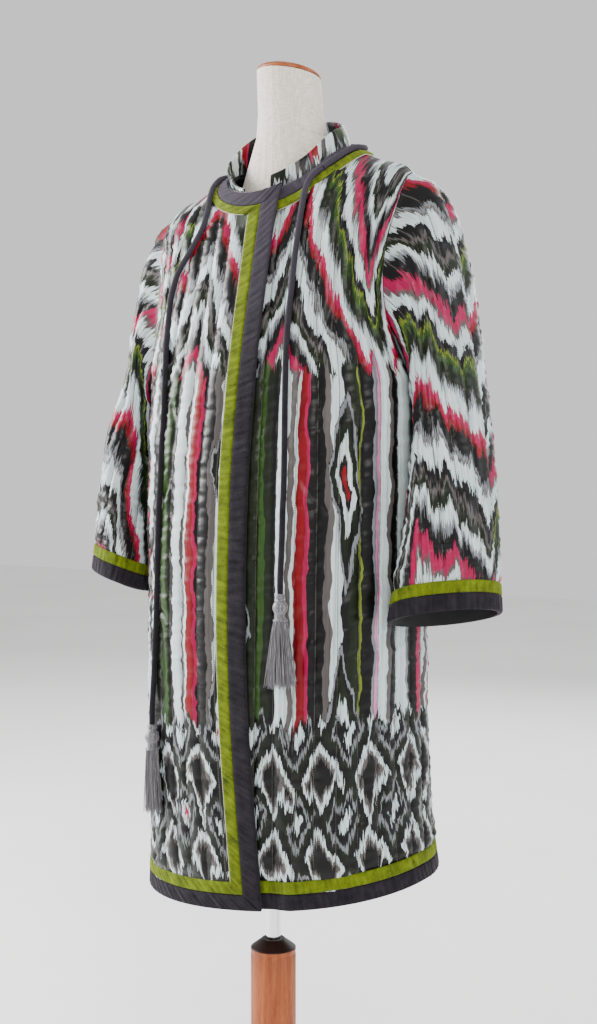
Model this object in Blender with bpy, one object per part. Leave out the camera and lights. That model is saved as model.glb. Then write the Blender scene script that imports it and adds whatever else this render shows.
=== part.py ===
"""Quilted coat with velvet bands and a tasselled tie, worn on a limbless dress form.

Metres, +Z up.  The front of the coat faces -Y and the wearer's left is +X.
The origin is the centre of the base disc's underside, on the post's axis.
"""
import math
from collections import namedtuple

import bmesh
import bpy
import numpy as np
from mathutils import Matrix

# Cloth
WALL = 0.003
QUILT_RISE = 0.0026
SEAM_GAP = 0.0003
EDGE_PULL = 0.0004
COAT_Y = 0.050

# Velvet bands
BAND_THICK = 0.0020
HEM_GREY = 0.022
HEM_LIME = 0.017
FRONT_GREY = 0.026
FRONT_LIME = 0.018
CUFF_GREY = 0.022
CUFF_LIME = 0.016
BAND_TO_BAND = 0.0004
BAND_LIFT = 0.0009
CUFF_LIFT = 0.0014
HEM_BAND_END = 0.020
HEM_START_LEVEL = 0.45
NECK_START_LEVEL = 9.1
NECK_LIME_START_LEVEL = 9.6
NECK_BAND_END = 0.018
NECK_BAND_START = 0.0012
# Round the neck: angle, width of the grey band, room for the tie, width of the lime band
NECK_BAND_POINTS = (
    (-15, 0.0200, 0.0004, 0.0115),
    (-50, 0.0190, 0.0004, 0.0115),
    (-95, 0.0145, 0.0080, 0.0120),
    (-300, 0.0145, 0.0080, 0.0125),
    (-318, 0.0180, 0.0020, 0.0125),
    (-350, 0.0190, 0.0004, 0.0125),
)

# Front opening: the right front laps over the left one
LAP_INSET = 0.0092
LAP_FULL_X = 0.056
LAP_FREE_X = 0.092
LAP_AT_NECK = 0.034
LAP_AT_HEM = 0.048

# Collar
COLLAR_START_X = -0.026
COLLAR_END_X = 0.013
COLLAR_COLUMNS = 34
COLLAR_IN = 0.0006
COLLAR_UP = 0.0008
COLLAR_ROWS = 4
# Round the neck from the right front: angle, height, and how far the top leans out
COLLAR_POINTS = (
    (-20, 0.003, 0.000),
    (-40, 0.014, 0.002),
    (-60, 0.023, 0.004),
    (-76, 0.026, 0.004),
    (-90, 0.034, 0.002),
    (-104, 0.049, -0.003),
    (-125, 0.047, -0.006),
    (-180, 0.036, -0.009),
    (-240, 0.028, -0.012),
    (-280, 0.029, -0.008),
    (-315, 0.027, -0.004),
    (-350, 0.022, -0.002),
)

# Tie: a cord round the neck between the velvet bands, with two hanging ends
CORD_DIAMETER = 0.008
CORD_SIDES_RESOLUTION = 2
CORD_LIFT = 0.0068
NECK_CORD_FROM = -84.0
NECK_CORD_TO = -308.0
NECK_CORD_POINTS = 24
HANGING_CORD_STEP = 0.020
LEFT_ROUTE = (
    (0.0870, -0.0124, 1.3816),
    (0.0817, -0.0178, 1.3768),
    (0.0765, -0.0224, 1.3697),
    (0.0730, -0.0281, 1.3596),
    (0.0719, -0.0345, 1.3466),
    (0.0729, -0.0402, 1.3320),
    (0.0743, -0.0487, 1.3100),
    (0.0744, -0.0550, 1.2880),
    (0.0740, -0.0622, 1.2570),
    (0.0751, -0.0702, 1.2225),
    (0.0756, -0.0784, 1.1850),
    (0.0766, -0.0858, 1.1480),
    (0.0791, -0.0924, 1.1125),
    (0.0819, -0.0983, 1.0760),
    (0.0860, -0.1062, 1.0170),
    (0.0880, -0.1110, 0.9590),
    (0.0880, -0.1138, 0.9265),
    (0.0880, -0.1155, 0.8900),
    (0.0893, -0.1203, 0.8560),
    (0.0908, -0.1243, 0.8360),
    (0.0910, -0.1245, 0.8190),
)
RIGHT_ROUTE = (
    (-0.1071, 0.0358, 1.3909),
    (-0.1069, 0.0285, 1.3888),
    (-0.1052, 0.0170, 1.3825),
    (-0.1022, 0.0036, 1.3735),
    (-0.0970, -0.0095, 1.3628),
    (-0.0908, -0.0228, 1.3495),
    (-0.0862, -0.0332, 1.3350),
    (-0.0850, -0.0410, 1.3200),
    (-0.0882, -0.0474, 1.3038),
    (-0.1021, -0.0535, 1.2772),
    (-0.1194, -0.0552, 1.2525),
    (-0.1290, -0.0545, 1.2318),
    (-0.1330, -0.0575, 1.2097),
    (-0.1325, -0.0642, 1.1757),
    (-0.1292, -0.0734, 1.1402),
    (-0.1260, -0.0806, 1.0930),
    (-0.1240, -0.0866, 1.0473),
    (-0.1222, -0.0940, 1.0031),
    (-0.1216, -0.0984, 0.9549),
    (-0.1234, -0.0998, 0.9135),
    (-0.1260, -0.0990, 0.8648),
    (-0.1286, -0.0975, 0.8173),
    (-0.1315, -0.0966, 0.7585),
    (-0.1340, -0.0975, 0.6992),
    (-0.1342, -0.1010, 0.6620),
    (-0.1340, -0.1032, 0.6400),
    (-0.1340, -0.1035, 0.6220),
)

# Tassels: radius and depth below the top, for the knot, head, neck and skirt cap
TASSEL_PROFILE = (
    (0.0046, 0.000),
    (0.0062, 0.004),
    (0.0046, 0.008),
    (0.0088, 0.014),
    (0.0098, 0.019),
    (0.0068, 0.026),
    (0.0070, 0.031),
    (0.0098, 0.035),
)
TASSEL_SECTORS = 11
TASSEL_ROOT_RADII = (0.0076, 0.0052, 0.0026)
TASSEL_LENGTH = 0.122
STRAND_GAP = 0.00022
STRAND_TAPER = 1.3
# How far the strands fan out across and in depth, and which way each tassel faces
LEFT_FAN = (2.7, 1.15)
LEFT_FACING = 9.0
RIGHT_FAN = (2.1, 1.15)
RIGHT_FACING = -22.0
STRAND_UNEVEN = 0.002
STRAND_WAVE = 2.4

# Dress form
NECK_TOP = 1.524
NECK_TOP_SLOPE_X = -0.10
NECK_TOP_SLOPE_Y = -0.12
TORSO_BOTTOM = 0.720
TORSO_SIDES = 28
SHOULDER_CLEAR = 0.0046
SHOULDER_FALL = 0.014
# Level of the coat that each shoulder ring follows, and how much further in it lies
SHOULDER_RINGS = (
    (8.35, 0.000),
    (8.80, 0.000),
    (9.30, 0.001),
    (9.65, 0.005),
    (9.95, 0.011),
)
# Height, radius and how far behind the coat's axis the neck's rings lie
NECK_RINGS = (
    (1.438, 0.050, 0.000),
    (1.470, 0.0465, -0.002),
    (NECK_TOP, 0.045, -0.008),
)
CAP_PROFILE = (
    (0.0445, 0.0000),
    (0.0456, 0.0010),
    (0.0452, 0.0030),
    (0.0400, 0.0072),
    (0.0300, 0.0110),
    (0.0180, 0.0134),
    (0.0040, 0.0144),
)
PLATE_RADIUS = 0.068
PLATE_THICK = 0.012
PLATE_Y = 0.010
ROD_RADIUS = 0.0105
POST_RADIUS = 0.032
POST_TOP = 0.314
POST_SHOULDER = 0.013
BASE_RADIUS = 0.190
BASE_THICK = 0.026
BASE_EDGE = 0.006
# The post's rounded top: shares of its radius, and of its shoulder below the top.
POST_CROWN = ((0.97, 0.90), (0.50, 0.0))
CAP_SIDES = 24
PLATE_SIDES = 32
ROD_SIDES = 20
POST_SIDES = 32
BASE_SIDES = 44

# The coat's cross sections from hem to neckline.  Heights are given where the
# section crosses the side, the centre front and the centre back; depths are
# measured from the neck's axis.  The coat sits lower on the wearer's right, and
# slant is each section's rise per metre toward the wearer's left.  Blend says how
# soon, behind the side, a section reaches the height of its back.
Section = namedtuple(
    "Section", "side front back half_width front_depth back_depth power slant blend")
SECTIONS = (
    Section(0.399, 0.383, 0.415, 0.216, 0.157, 0.150, 2.20, 0.100, 1.4),
    Section(0.500, 0.489, 0.510, 0.209, 0.165, 0.116, 2.20, 0.090, 1.4),
    Section(0.640, 0.635, 0.645, 0.205, 0.172, 0.098, 2.20, 0.080, 1.4),
    Section(0.800, 0.798, 0.802, 0.205, 0.173, 0.098, 2.20, 0.070, 1.4),
    Section(0.955, 0.953, 0.955, 0.208, 0.166, 0.110, 2.25, 0.060, 1.4),
    Section(1.082, 1.076, 1.085, 0.206, 0.150, 0.122, 2.30, 0.055, 1.4),
    Section(1.186, 1.160, 1.180, 0.203, 0.134, 0.124, 2.35, 0.055, 1.4),
    Section(1.281, 1.228, 1.260, 0.199, 0.118, 0.113, 2.35, 0.060, 1.4),
    Section(1.360, 1.286, 1.330, 0.190, 0.104, 0.102, 2.30, 0.078, 1.4),
    Section(1.386, 1.322, 1.385, 0.138, 0.095, 0.086, 2.15, 0.090, 1.3),
    Section(1.406, 1.355, 1.433, 0.087, 0.086, 0.070, 2.05, 0.118, 1.1),
)
FRONT_BLEND = 1.4
TORSO_SECTIONS = (
    Section(0.720, 0.720, 0.720, 0.146, 0.128, 0.068, 2.1, 0.0, 2.0),
    Section(0.800, 0.800, 0.800, 0.166, 0.142, 0.080, 2.1, 0.0, 2.0),
    Section(0.900, 0.900, 0.900, 0.150, 0.126, 0.084, 2.1, 0.0, 2.0),
    Section(1.000, 1.000, 1.000, 0.126, 0.108, 0.088, 2.1, 0.0, 2.0),
    Section(1.100, 1.095, 1.100, 0.141, 0.118, 0.094, 2.1, 0.0, 2.0),
    Section(1.190, 1.165, 1.185, 0.154, 0.112, 0.096, 2.1, 0.0, 2.0),
    Section(1.280, 1.225, 1.255, 0.164, 0.094, 0.092, 2.1, 0.0, 2.0),
)
UNDERARM = 5.0
SHOULDER = 8.0
NECKLINE = 10.0
ARMHOLE_BITE = 28.0
ARMHOLE_SCOOP = 0.55

# The sleeve's cross sections from armhole to cuff, in the coat's own frame:
# the outermost line of the sleeve, its innermost line, and half its depth.
SleeveSection = namedtuple(
    "SleeveSection", "outer_x outer_y outer_z inner_x inner_y inner_z half_depth front_rise")
SLEEVE_SECTIONS = (
    SleeveSection(0.190, 0.000, 1.377, 0.206, 0.000, 1.095, 0.072, 0.000),
    SleeveSection(0.224, 0.012, 1.350, 0.219, 0.006, 1.050, 0.076, 0.002),
    SleeveSection(0.253, 0.015, 1.262, 0.219, 0.004, 1.000, 0.077, 0.004),
    SleeveSection(0.272, 0.013, 1.155, 0.217, -0.008, 0.950, 0.075, 0.005),
    SleeveSection(0.297, -0.004, 1.050, 0.217, -0.036, 0.900, 0.073, 0.006),
    SleeveSection(0.312, -0.010, 0.944, 0.212, -0.057, 0.844, 0.066, 0.009),
    SleeveSection(0.325, -0.015, 0.795, 0.207, -0.082, 0.775, 0.0575, 0.0125),
)
SLEEVE_BLEND = 1.6
SLEEVE_START_IN = 0.0006
SLEEVE_START_OUT = 0.0006
RIGHT_CUFF_LIFT = 0.024
RIGHT_DRAW_IN = 0.018
RIGHT_SHOULDER_DROP = 0.020
RIGHT_DROP_LEVELS = 3.0
RING_POINTS = 240
SLEEVE_STEPS = 60
BAND_REACH_LEVELS = 2.2

# Grid densities
POINTS_PER_CHANNEL = 3
FRONT_CHANNELS = 10
PLAIN_SHARE = 0.150
PLAIN_COLUMNS = 2
BACK_CHANNELS = 18
SLEEVE_CHANNELS = 14
LOWER_LEVELS = (0.0, 0.22, 0.40, 0.50, 1.0, 1.7, 2.4, 3.1, 3.8, 4.4, 5.0)
UPPER_STEPS = (0.10, 0.22, 0.34, 0.46, 0.58, 0.69, 0.79, 0.88, 0.95, 1.0)
SLEEVE_LEVELS = (0.0, 0.3, 0.7, 1.2, 1.8, 2.4, 3.0, 3.7, 4.4, 5.0)
CUFF_ROW_DISTANCES = (0.046, 0.040, 0.021, 0.0)
DENSE = 160
CUFF_COLUMNS = 36
HEM_COLUMNS = 72
NECK_COLUMNS = 48
FRONT_BAND_ROWS = 24
QUILT_FIRST_ROW = 4
QUILT_TOP_ROWS = 4
PRESSED_ABOVE = 3.5
PRESSED_SHARE = 0.2


def clear_scene():
    """Remove every object that the file starts with."""
    for item in list(bpy.data.objects):
        bpy.data.objects.remove(item, do_unlink=True)


def material(name, colour, roughness, metallic=0.0):
    """A Principled material, made once for each name."""
    found = bpy.data.materials.get(name)
    if found:
        return found
    made = bpy.data.materials.new(name)
    made.use_nodes = True
    shader = made.node_tree.nodes["Principled BSDF"]
    shader.inputs["Base Color"].default_value = (*colour, 1.0)
    shader.inputs["Roughness"].default_value = roughness
    shader.inputs["Metallic"].default_value = metallic
    return made


def print_cloth():
    return material("printed_cotton", (0.30, 0.31, 0.29), 0.75)


def grey_velvet():
    return material("grey_velvet", (0.07, 0.06, 0.075), 0.9)


def lime_velvet():
    return material("lime_velvet", (0.22, 0.27, 0.03), 0.9)


def linen():
    return material("linen", (0.74, 0.68, 0.60), 0.85)


def wood():
    return material("stained_beech", (0.26, 0.08, 0.04), 0.5)


def cubic_rows(rows, level):
    """Read a table of rows at a fractional row number, by Catmull-Rom curves."""
    table = np.array(rows, dtype=float)
    last = len(table) - 1
    level = np.clip(np.asarray(level, dtype=float), 0.0, last)
    base = np.minimum(level.astype(int), last - 1)
    part = (level - base)[..., None]
    before = table[np.maximum(base - 1, 0)]
    start = table[base]
    end = table[base + 1]
    after = table[np.minimum(base + 2, last)]
    tangent_start = (end - before) / 2
    tangent_end = (after - start) / 2
    square = part * part
    cube = square * part
    return ((2 * cube - 3 * square + 1) * start + (cube - 2 * square + part) * tangent_start
            + (3 * square - 2 * cube) * end + (cube - square) * tangent_end)


def smooth_step(value):
    """Ease from 0 to 1 as the value goes from 0 to 1."""
    value = np.clip(value, 0.0, 1.0)
    return value * value * (3 - 2 * value)


def signed_power(value, power):
    return np.sign(value) * np.abs(value) ** power


def slant_at(level):
    """How steeply a section rises toward the wearer's left."""
    return cubic_rows(SECTIONS, level)[..., 7]


def body_point(level, angle):
    """A point of the coat's surface; angle 0 is centre front, 90 the left side."""
    level, angle = np.broadcast_arrays(np.asarray(level, float), np.asarray(angle, float))
    row = cubic_rows(SECTIONS, level)
    (side, front, back, half_width, front_depth, back_depth,
     power, slant, blend) = np.moveaxis(row, -1, 0)
    turn = np.radians(angle)
    across = signed_power(np.sin(turn), 2 / power)
    along = signed_power(np.cos(turn), 2 / power)
    depth = np.where(along > 0, front_depth, back_depth)
    end_height = np.where(along > 0, front, back)
    x = half_width * across
    y = -depth * along
    share = np.abs(np.cos(turn)) ** np.where(along > 0, FRONT_BLEND, blend)
    z = side + (end_height - side) * share + slant * x
    return np.stack([x, y + COAT_Y, z], axis=-1)


def angle_at_x(level, x):
    """The angle in the front half at which a section reaches a given x."""
    row = cubic_rows(SECTIONS, level)
    half_width = row[..., 3]
    power = row[..., 6]
    share = np.clip(np.abs(x) / half_width, 0.0, 1.0)
    return np.sign(x) * np.degrees(np.arcsin(share ** (power / 2)))


def lap_x(level):
    """How far the front edge passes the centre front."""
    return LAP_AT_HEM + (LAP_AT_NECK - LAP_AT_HEM) * smooth_step(np.asarray(level, float) / 3)


def line_length(line):
    """Running length along a line of points."""
    return np.concatenate([[0.0], np.cumsum(np.linalg.norm(np.diff(line, axis=0), axis=1))])


def armhole_x(step):
    """The armhole edge's x, at a step from the underarm (0) to the shoulder (1)."""
    row = cubic_rows(SECTIONS, UNDERARM + step * (SHOULDER - UNDERARM))
    bite = ARMHOLE_BITE * math.sin(math.pi * min(step, 1.0)) ** ARMHOLE_SCOOP if step < 1 else 0.0
    return row[3] * math.sin(math.radians(90 - bite)) ** (2 / row[6])


def highest_level(width_share):
    """The level of the shoulder seam or neckline that each column reaches."""
    top_levels = np.linspace(SHOULDER, NECKLINE, DENSE)
    top_widths = cubic_rows(SECTIONS, top_levels)[:, 3]
    top_x = np.abs(width_share) * top_widths[0]
    return np.interp(-top_x, -top_widths, top_levels)


def half_panel(edge_x, shares):
    """Points of half a panel, from its edge at x = edge_x(level) to the side.

    Rows go from the hem to the underarm, then on to the neckline and shoulder
    seam; the last column is the side seam and then the armhole.
    Returns the levels and angles of the grid.
    """
    levels = []
    angles = []
    for level in LOWER_LEVELS:
        start = float(angle_at_x(np.array(level), np.array(edge_x(level))))
        dense_angle = np.linspace(start, 90.0, DENSE)
        run = line_length(body_point(level, dense_angle))
        angles.append(np.interp(shares * run[-1], run, dense_angle))
        levels.append(np.full(len(shares), level))
    power = cubic_rows(SECTIONS, UNDERARM)[6]
    width_share = signed_power(np.sin(np.radians(angles[-1])), 2 / power)
    highest = highest_level(width_share)
    for step in UPPER_STEPS:
        level = UNDERARM + step * (highest - UNDERARM)
        levels.append(level)
        angles.append(angle_at_x(level, width_share * armhole_x(step)))
    return np.array(levels), np.array(angles)


def front_shares():
    """Column places across a front: a plain strip at the edge, then the channels."""
    plain = np.linspace(0, PLAIN_SHARE, PLAIN_COLUMNS + 1)[:-1]
    return np.concatenate([plain, np.linspace(PLAIN_SHARE, 1, FRONT_CHANNELS * POINTS_PER_CHANNEL + 1)])


def quilt_heights(levels):
    """Raised channels: a valley at each stitched line, level under the velvet bands.

    Beside the underarm and the armhole, where the sleeve presses, they are low.
    """
    rows, columns = levels.shape
    ridge = np.where(np.arange(columns) % POINTS_PER_CHANNEL == 0, 0.0, QUILT_RISE)
    ridge[-1] = 0.0
    heights = np.tile(ridge, (rows, 1))
    heights[:QUILT_FIRST_ROW] = 0.0
    heights[-QUILT_TOP_ROWS:] = 0.0
    pressed = levels[:, -1] > PRESSED_ABOVE
    heights[pressed, -POINTS_PER_CHANNEL:] *= PRESSED_SHARE
    return heights


def grid_normals(grid, wraps=False):
    """Unit normals of a grid of points, outward for this file's grids."""
    if wraps:
        along = np.roll(grid, -1, axis=1) - np.roll(grid, 1, axis=1)
    else:
        along = np.gradient(grid, axis=1)
    up = np.gradient(grid, axis=0)
    normal = np.cross(along, up)
    size = np.linalg.norm(normal, axis=-1, keepdims=True)
    return normal / np.maximum(size, 1e-9)


def pull_edges(grid):
    """Draw the grid's outline in by a hair, so neighbours keep a seam's gap."""
    pulled = grid.copy()
    for edge, inner in ((0, 1), (-1, -2)):
        step = grid[:, inner] - grid[:, edge]
        pulled[:, edge] += EDGE_PULL * step / np.linalg.norm(step, axis=-1, keepdims=True)
        step = grid[inner] - grid[edge]
        pulled[edge] += EDGE_PULL * step / np.linalg.norm(step, axis=-1, keepdims=True)
    return pulled


def zip_faces(first, first_shares, second, second_shares):
    """Triangles between two lines of vertices with different counts."""
    faces = []
    i = 0
    j = 0
    while i < len(first) - 1 or j < len(second) - 1:
        take_first = j == len(second) - 1 or (
            i < len(first) - 1 and first_shares[i + 1] <= second_shares[j + 1])
        if take_first:
            faces.append((first[i], first[i + 1], second[j]))
            i += 1
        else:
            faces.append((first[i], second[j + 1], second[j]))
            j += 1
    return faces


def build_mesh(name, points, faces, finish):
    """Make an object of points and faces, with its faces turned outward."""
    mesh = bpy.data.meshes.new(name)
    mesh.from_pydata([tuple(point) for point in points], [], faces)
    work = bmesh.new()
    work.from_mesh(mesh)
    bmesh.ops.remove_doubles(work, verts=work.verts, dist=1e-6)
    bmesh.ops.recalc_face_normals(work, faces=work.faces)
    bmesh.ops.triangulate(work, faces=work.faces)
    work.to_mesh(mesh)
    work.free()
    mesh.shade_smooth()
    mesh.set_sharp_from_angle(angle=math.radians(40))
    mesh.materials.append(finish)
    item = bpy.data.objects.new(name, mesh)
    bpy.context.scene.collection.objects.link(item)
    return item


def thinned(count, stride):
    """Every stride-th index of a line, with its last index."""
    kept = list(range(0, count, stride))
    if kept[-1] != count - 1:
        kept.append(count - 1)
    return kept


def wall(name, outer, inner_full, finish, column_stride, row_stride, wraps=False):
    """A closed wall: a fine outer grid, a plainer inner one, and rims."""
    rows, columns = outer.shape[:2]
    kept_rows = thinned(rows, row_stride)
    kept_columns = list(range(0, columns, column_stride)) if wraps else thinned(columns, column_stride)
    inner = inner_full[np.ix_(kept_rows, kept_columns)]
    points = np.concatenate([outer.reshape(-1, 3), inner.reshape(-1, 3)])
    offset = rows * columns
    faces = []
    span = columns if wraps else columns - 1
    for r in range(rows - 1):
        for c in range(span):
            right = (c + 1) % columns
            faces.append((r * columns + c, r * columns + right,
                          (r + 1) * columns + right, (r + 1) * columns + c))
    inner_count = len(kept_columns)
    inner_span = inner_count if wraps else inner_count - 1
    for r in range(len(kept_rows) - 1):
        for c in range(inner_span):
            right = (c + 1) % inner_count
            faces.append((offset + r * inner_count + c, offset + (r + 1) * inner_count + c,
                          offset + (r + 1) * inner_count + right, offset + r * inner_count + right))
    for row, inner_row in ((0, 0), (rows - 1, len(kept_rows) - 1)):
        first = [row * columns + c for c in range(columns)]
        second = [offset + inner_row * inner_count + c for c in range(inner_count)]
        shares = list(range(columns))
        second_shares = list(kept_columns)
        if wraps:
            first.append(first[0])
            second.append(second[0])
            shares.append(columns)
            second_shares.append(columns)
        faces += zip_faces(first, shares, second, second_shares)
    if not wraps:
        for column, inner_column in ((0, 0), (columns - 1, inner_count - 1)):
            first = [r * columns + column for r in range(rows)]
            second = [offset + r * inner_count + inner_column for r in range(len(kept_rows))]
            faces += zip_faces(first, list(range(rows)), second, kept_rows)
    return build_mesh(name, points, faces, finish)


def mirrored(grid, levels):
    """The wearer's right side of a grid made for the left, with the hem's tilt kept."""
    turned = grid.copy()
    turned[..., 2] -= 2 * slant_at(levels) * grid[..., 0]
    turned[..., 0] *= -1
    return turned


def lap_inset(x):
    """How far the left front lies under the right one."""
    return LAP_INSET * smooth_step((LAP_FREE_X - x) / (LAP_FREE_X - LAP_FULL_X))


def panel_normals(base, levels, angles):
    """A panel's normals, shared with its neighbour at the side and shoulder seams."""
    normals = grid_normals(base)
    _, whole = coat_line(levels, angles)
    normals[-1] = whole[-1]
    seam = np.isclose(angles, 90.0)
    normals[seam] = whole[seam]
    return normals


def front_panel(name, side):
    """A front: side +1 is the wearer's left, -1 the right, which lies on top."""
    shares = front_shares()
    levels, angles = half_panel(lambda level: -lap_x(level), shares)
    base = body_point(levels, angles)
    normals = panel_normals(base, levels, angles)
    if side > 0:
        base = base - lap_inset(base[..., :1]) * normals
    base = pull_edges(base)
    lift = np.zeros(base.shape[:2])
    lift[:, PLAIN_COLUMNS:] = quilt_heights(levels[:, PLAIN_COLUMNS:])
    outer = base + lift[..., None] * normals
    inner = base - WALL * normals
    if side < 0:
        outer = mirrored(outer, levels)
        inner = mirrored(inner, levels)
    return wall(name, outer, inner, print_cloth(), POINTS_PER_CHANNEL, 2)


def back_half():
    """Levels, angles and points of the back's left half, from centre back to the side."""
    shares = np.linspace(0, 1, BACK_CHANNELS * POINTS_PER_CHANNEL // 2 + 1)
    levels = []
    angles = []
    for level in LOWER_LEVELS:
        dense_angle = np.linspace(180.0, 90.0, DENSE)
        run = line_length(body_point(level, dense_angle))
        angles.append(np.interp(shares * run[-1], run, dense_angle))
        levels.append(np.full(len(shares), level))
    width_share = np.sin(np.radians(angles[-1])) ** (2 / cubic_rows(SECTIONS, UNDERARM)[6])
    highest = highest_level(width_share)
    for step in UPPER_STEPS:
        level = UNDERARM + step * (highest - UNDERARM)
        levels.append(level)
        angles.append(180.0 - angle_at_x(level, width_share * armhole_x(step)))
    return np.array(levels), np.array(angles)


def back_panel():
    """The back, one piece from side seam to side seam."""
    levels, angles = back_half()
    half_lift = quilt_heights(levels)[:, ::-1]
    levels = levels[:, ::-1]
    angles = angles[:, ::-1]
    left = body_point(levels, angles)
    left_normals = panel_normals(left, levels, angles)
    right = mirrored(left, levels)[:, ::-1]
    right_normals = mirrored(left_normals, levels)[:, ::-1]
    base = pull_edges(np.concatenate([left, right[:, 1:]], axis=1))
    normals = np.concatenate([left_normals, right_normals[:, 1:]], axis=1)
    lift = np.concatenate([half_lift, half_lift[:, -2::-1]], axis=1)
    outer = base + lift[..., None] * normals
    inner = base - WALL * normals
    return wall("back", outer, inner, print_cloth(), POINTS_PER_CHANNEL, 2)


def armhole_ring(side):
    """An armhole's outline from the shoulder, down the front and up the back.

    It is given at positive x for both sides; side says which tilt it follows.
    """
    front_levels, front_angles = half_panel(lambda level: -lap_x(level), np.linspace(0, 1, 3))
    back_levels, back_angles = back_half()
    first = len(LOWER_LEVELS) - 1
    levels = np.concatenate([front_levels[first:, -1][::-1], back_levels[first + 1:, -1]])
    angles = np.concatenate([front_angles[first:, -1][::-1], back_angles[first + 1:, -1]])
    ring = body_point(levels, angles)
    if side < 0:
        ring[:, 2] -= 2 * slant_at(levels) * ring[:, 0]
    return ring


def resample(line, count):
    """Points at even distances along a line."""
    run = line_length(line)
    stops = np.linspace(0, run[-1], count)
    return np.stack([np.interp(stops, run, line[:, k]) for k in range(3)], axis=-1)


def sleeve_ring(level, count, side):
    """An even ring round the sleeve: shoulder line, front, underarm line, back."""
    row = cubic_rows(SLEEVE_SECTIONS, level)
    outer = row[0:3]
    inner = row[3:6]
    middle = (outer + inner) / 2
    half = (outer - inner) / 2
    toward_front = np.array([0.0, -row[6], row[7]])
    turn = np.radians(np.linspace(0, 360, RING_POINTS + 1))[:, None]
    dense = middle + half * np.cos(turn) + toward_front * np.sin(turn)
    dense[:, 1] += COAT_Y
    if side < 0:
        share = level / (len(SLEEVE_SECTIONS) - 1)
        dense[:, 0] -= RIGHT_DRAW_IN * math.sin(math.pi * share) * (dense[:, 0] - row[3]) / (row[0] - row[3])
        dense[:, 2] += RIGHT_CUFF_LIFT * share ** 2
        dense[:, 2] -= RIGHT_SHOULDER_DROP * (1 - smooth_step(level / RIGHT_DROP_LEVELS))
    front_half = resample(dense[:RING_POINTS // 2 + 1], count // 2 + 1)
    back_half_ring = resample(dense[RING_POINTS // 2:], count // 2 + 1)
    return np.concatenate([front_half, back_half_ring[1:-1]])


def sleeve_base(levels, count, side):
    """Rings of the left sleeve's surface; the first one follows the armhole."""
    hole = armhole_ring(side)
    half = len(UPPER_STEPS)
    hole_front = resample(hole[:half + 1], count // 2 + 1)
    hole_back = resample(hole[half:], count // 2 + 1)
    hole = np.concatenate([hole_front, hole_back[1:-1]])
    centre = hole.mean(axis=0)
    inward = centre - hole
    inward[:, 0] = 0.0
    inward /= np.linalg.norm(inward, axis=1, keepdims=True)
    start = hole + SLEEVE_START_IN * inward + np.array([SLEEVE_START_OUT, 0.0, 0.0])
    first = sleeve_ring(0.0, count, side)
    rings = []
    for level in levels:
        fade = 1 - smooth_step(level / SLEEVE_BLEND)
        rings.append(sleeve_ring(level, count, side) + fade * (start - first))
    return np.array(rings)


def rows_from_end(grid, distances):
    """Rings at given distances from a tube's last ring, measured along each line."""
    picked = []
    for distance in distances:
        ring = []
        for column in range(grid.shape[1]):
            line = grid[::-1, column]
            run = line_length(line)
            ring.append([np.interp(distance, run, line[:, k]) for k in range(3)])
        picked.append(ring)
    return np.array(picked)


def close_rings(count, side):
    """The sleeve's surface in close rings, to measure distances along it."""
    return sleeve_base(np.linspace(0, len(SLEEVE_SECTIONS) - 1, SLEEVE_STEPS + 1), count, side)


def sleeve_grid(count, side):
    """The sleeve's rows from the armhole to the cuff's edge."""
    dense = close_rings(count, side)
    upper = sleeve_base(SLEEVE_LEVELS, count, side)
    return np.concatenate([upper, rows_from_end(dense, CUFF_ROW_DISTANCES)])


def sleeve(name, side):
    """A sleeve with quilted channels down its length."""
    count = SLEEVE_CHANNELS * POINTS_PER_CHANNEL
    base = sleeve_grid(count, side)
    normals = grid_normals(base, wraps=True)
    grow = np.full(len(base), QUILT_RISE)
    grow[0] = 0.0
    grow[1] = 0.0
    grow[-3:] = 0.0
    ridge = np.where(np.arange(count) % POINTS_PER_CHANNEL == 0, 0.0, 1.0)
    outer = base + (grow[:, None] * ridge[None, :])[..., None] * normals
    inner = base - WALL * normals
    outer[..., 0] *= side
    inner[..., 0] *= side
    return wall(name, outer, inner, print_cloth(), POINTS_PER_CHANNEL, 2, wraps=True)


def cuff_band(name, side, start, end, finish):
    """A velvet band round a cuff, between two distances from its edge."""
    count = CUFF_COLUMNS
    rows = rows_from_end(close_rings(count, side), (end, start))
    normals = grid_normals(rows, wraps=True)
    outer = rows + (CUFF_LIFT + BAND_THICK) * normals
    inner = rows + CUFF_LIFT * normals
    outer[..., 0] *= side
    inner[..., 0] *= side
    return wall(name, outer, inner, finish, 1, 1, wraps=True)


def strip(name, rows, normals, finish):
    """A flat band laid on the cloth: rows of points, moved out and thickened."""
    outer = rows + (BAND_LIFT + BAND_THICK) * normals
    inner = rows + BAND_LIFT * normals
    return wall(name, outer, inner, finish, 1, 1)


def coat_line(level, angle):
    """Points of the coat seen from outside, with the lap's inset on the left front."""
    level, angle = np.broadcast_arrays(np.asarray(level, float), np.asarray(angle, float))
    step = 0.01
    here = body_point(level, angle)
    along = body_point(level, angle + step) - body_point(level, angle - step)
    up = body_point(level + step, angle) - body_point(level - step, angle)
    normal = np.cross(along, up)
    normal /= np.linalg.norm(normal, axis=-1, keepdims=True)
    return here, normal


def sunk(here, normal):
    """Move points of the left front in, where the right front covers them."""
    return here - lap_inset(here[..., :1]) * normal


def level_from(end_level, angle, distance):
    """The level at a distance from the hem (end 0) or the neckline, along the cloth."""
    levels = np.linspace(end_level, abs(end_level - BAND_REACH_LEVELS), DENSE)
    found = []
    angle = np.atleast_1d(angle)
    for one, stop in zip(angle, np.broadcast_to(distance, angle.shape)):
        run = line_length(body_point(levels, one))
        found.append(np.interp(stop, run, levels))
    return np.array(found)


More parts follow.
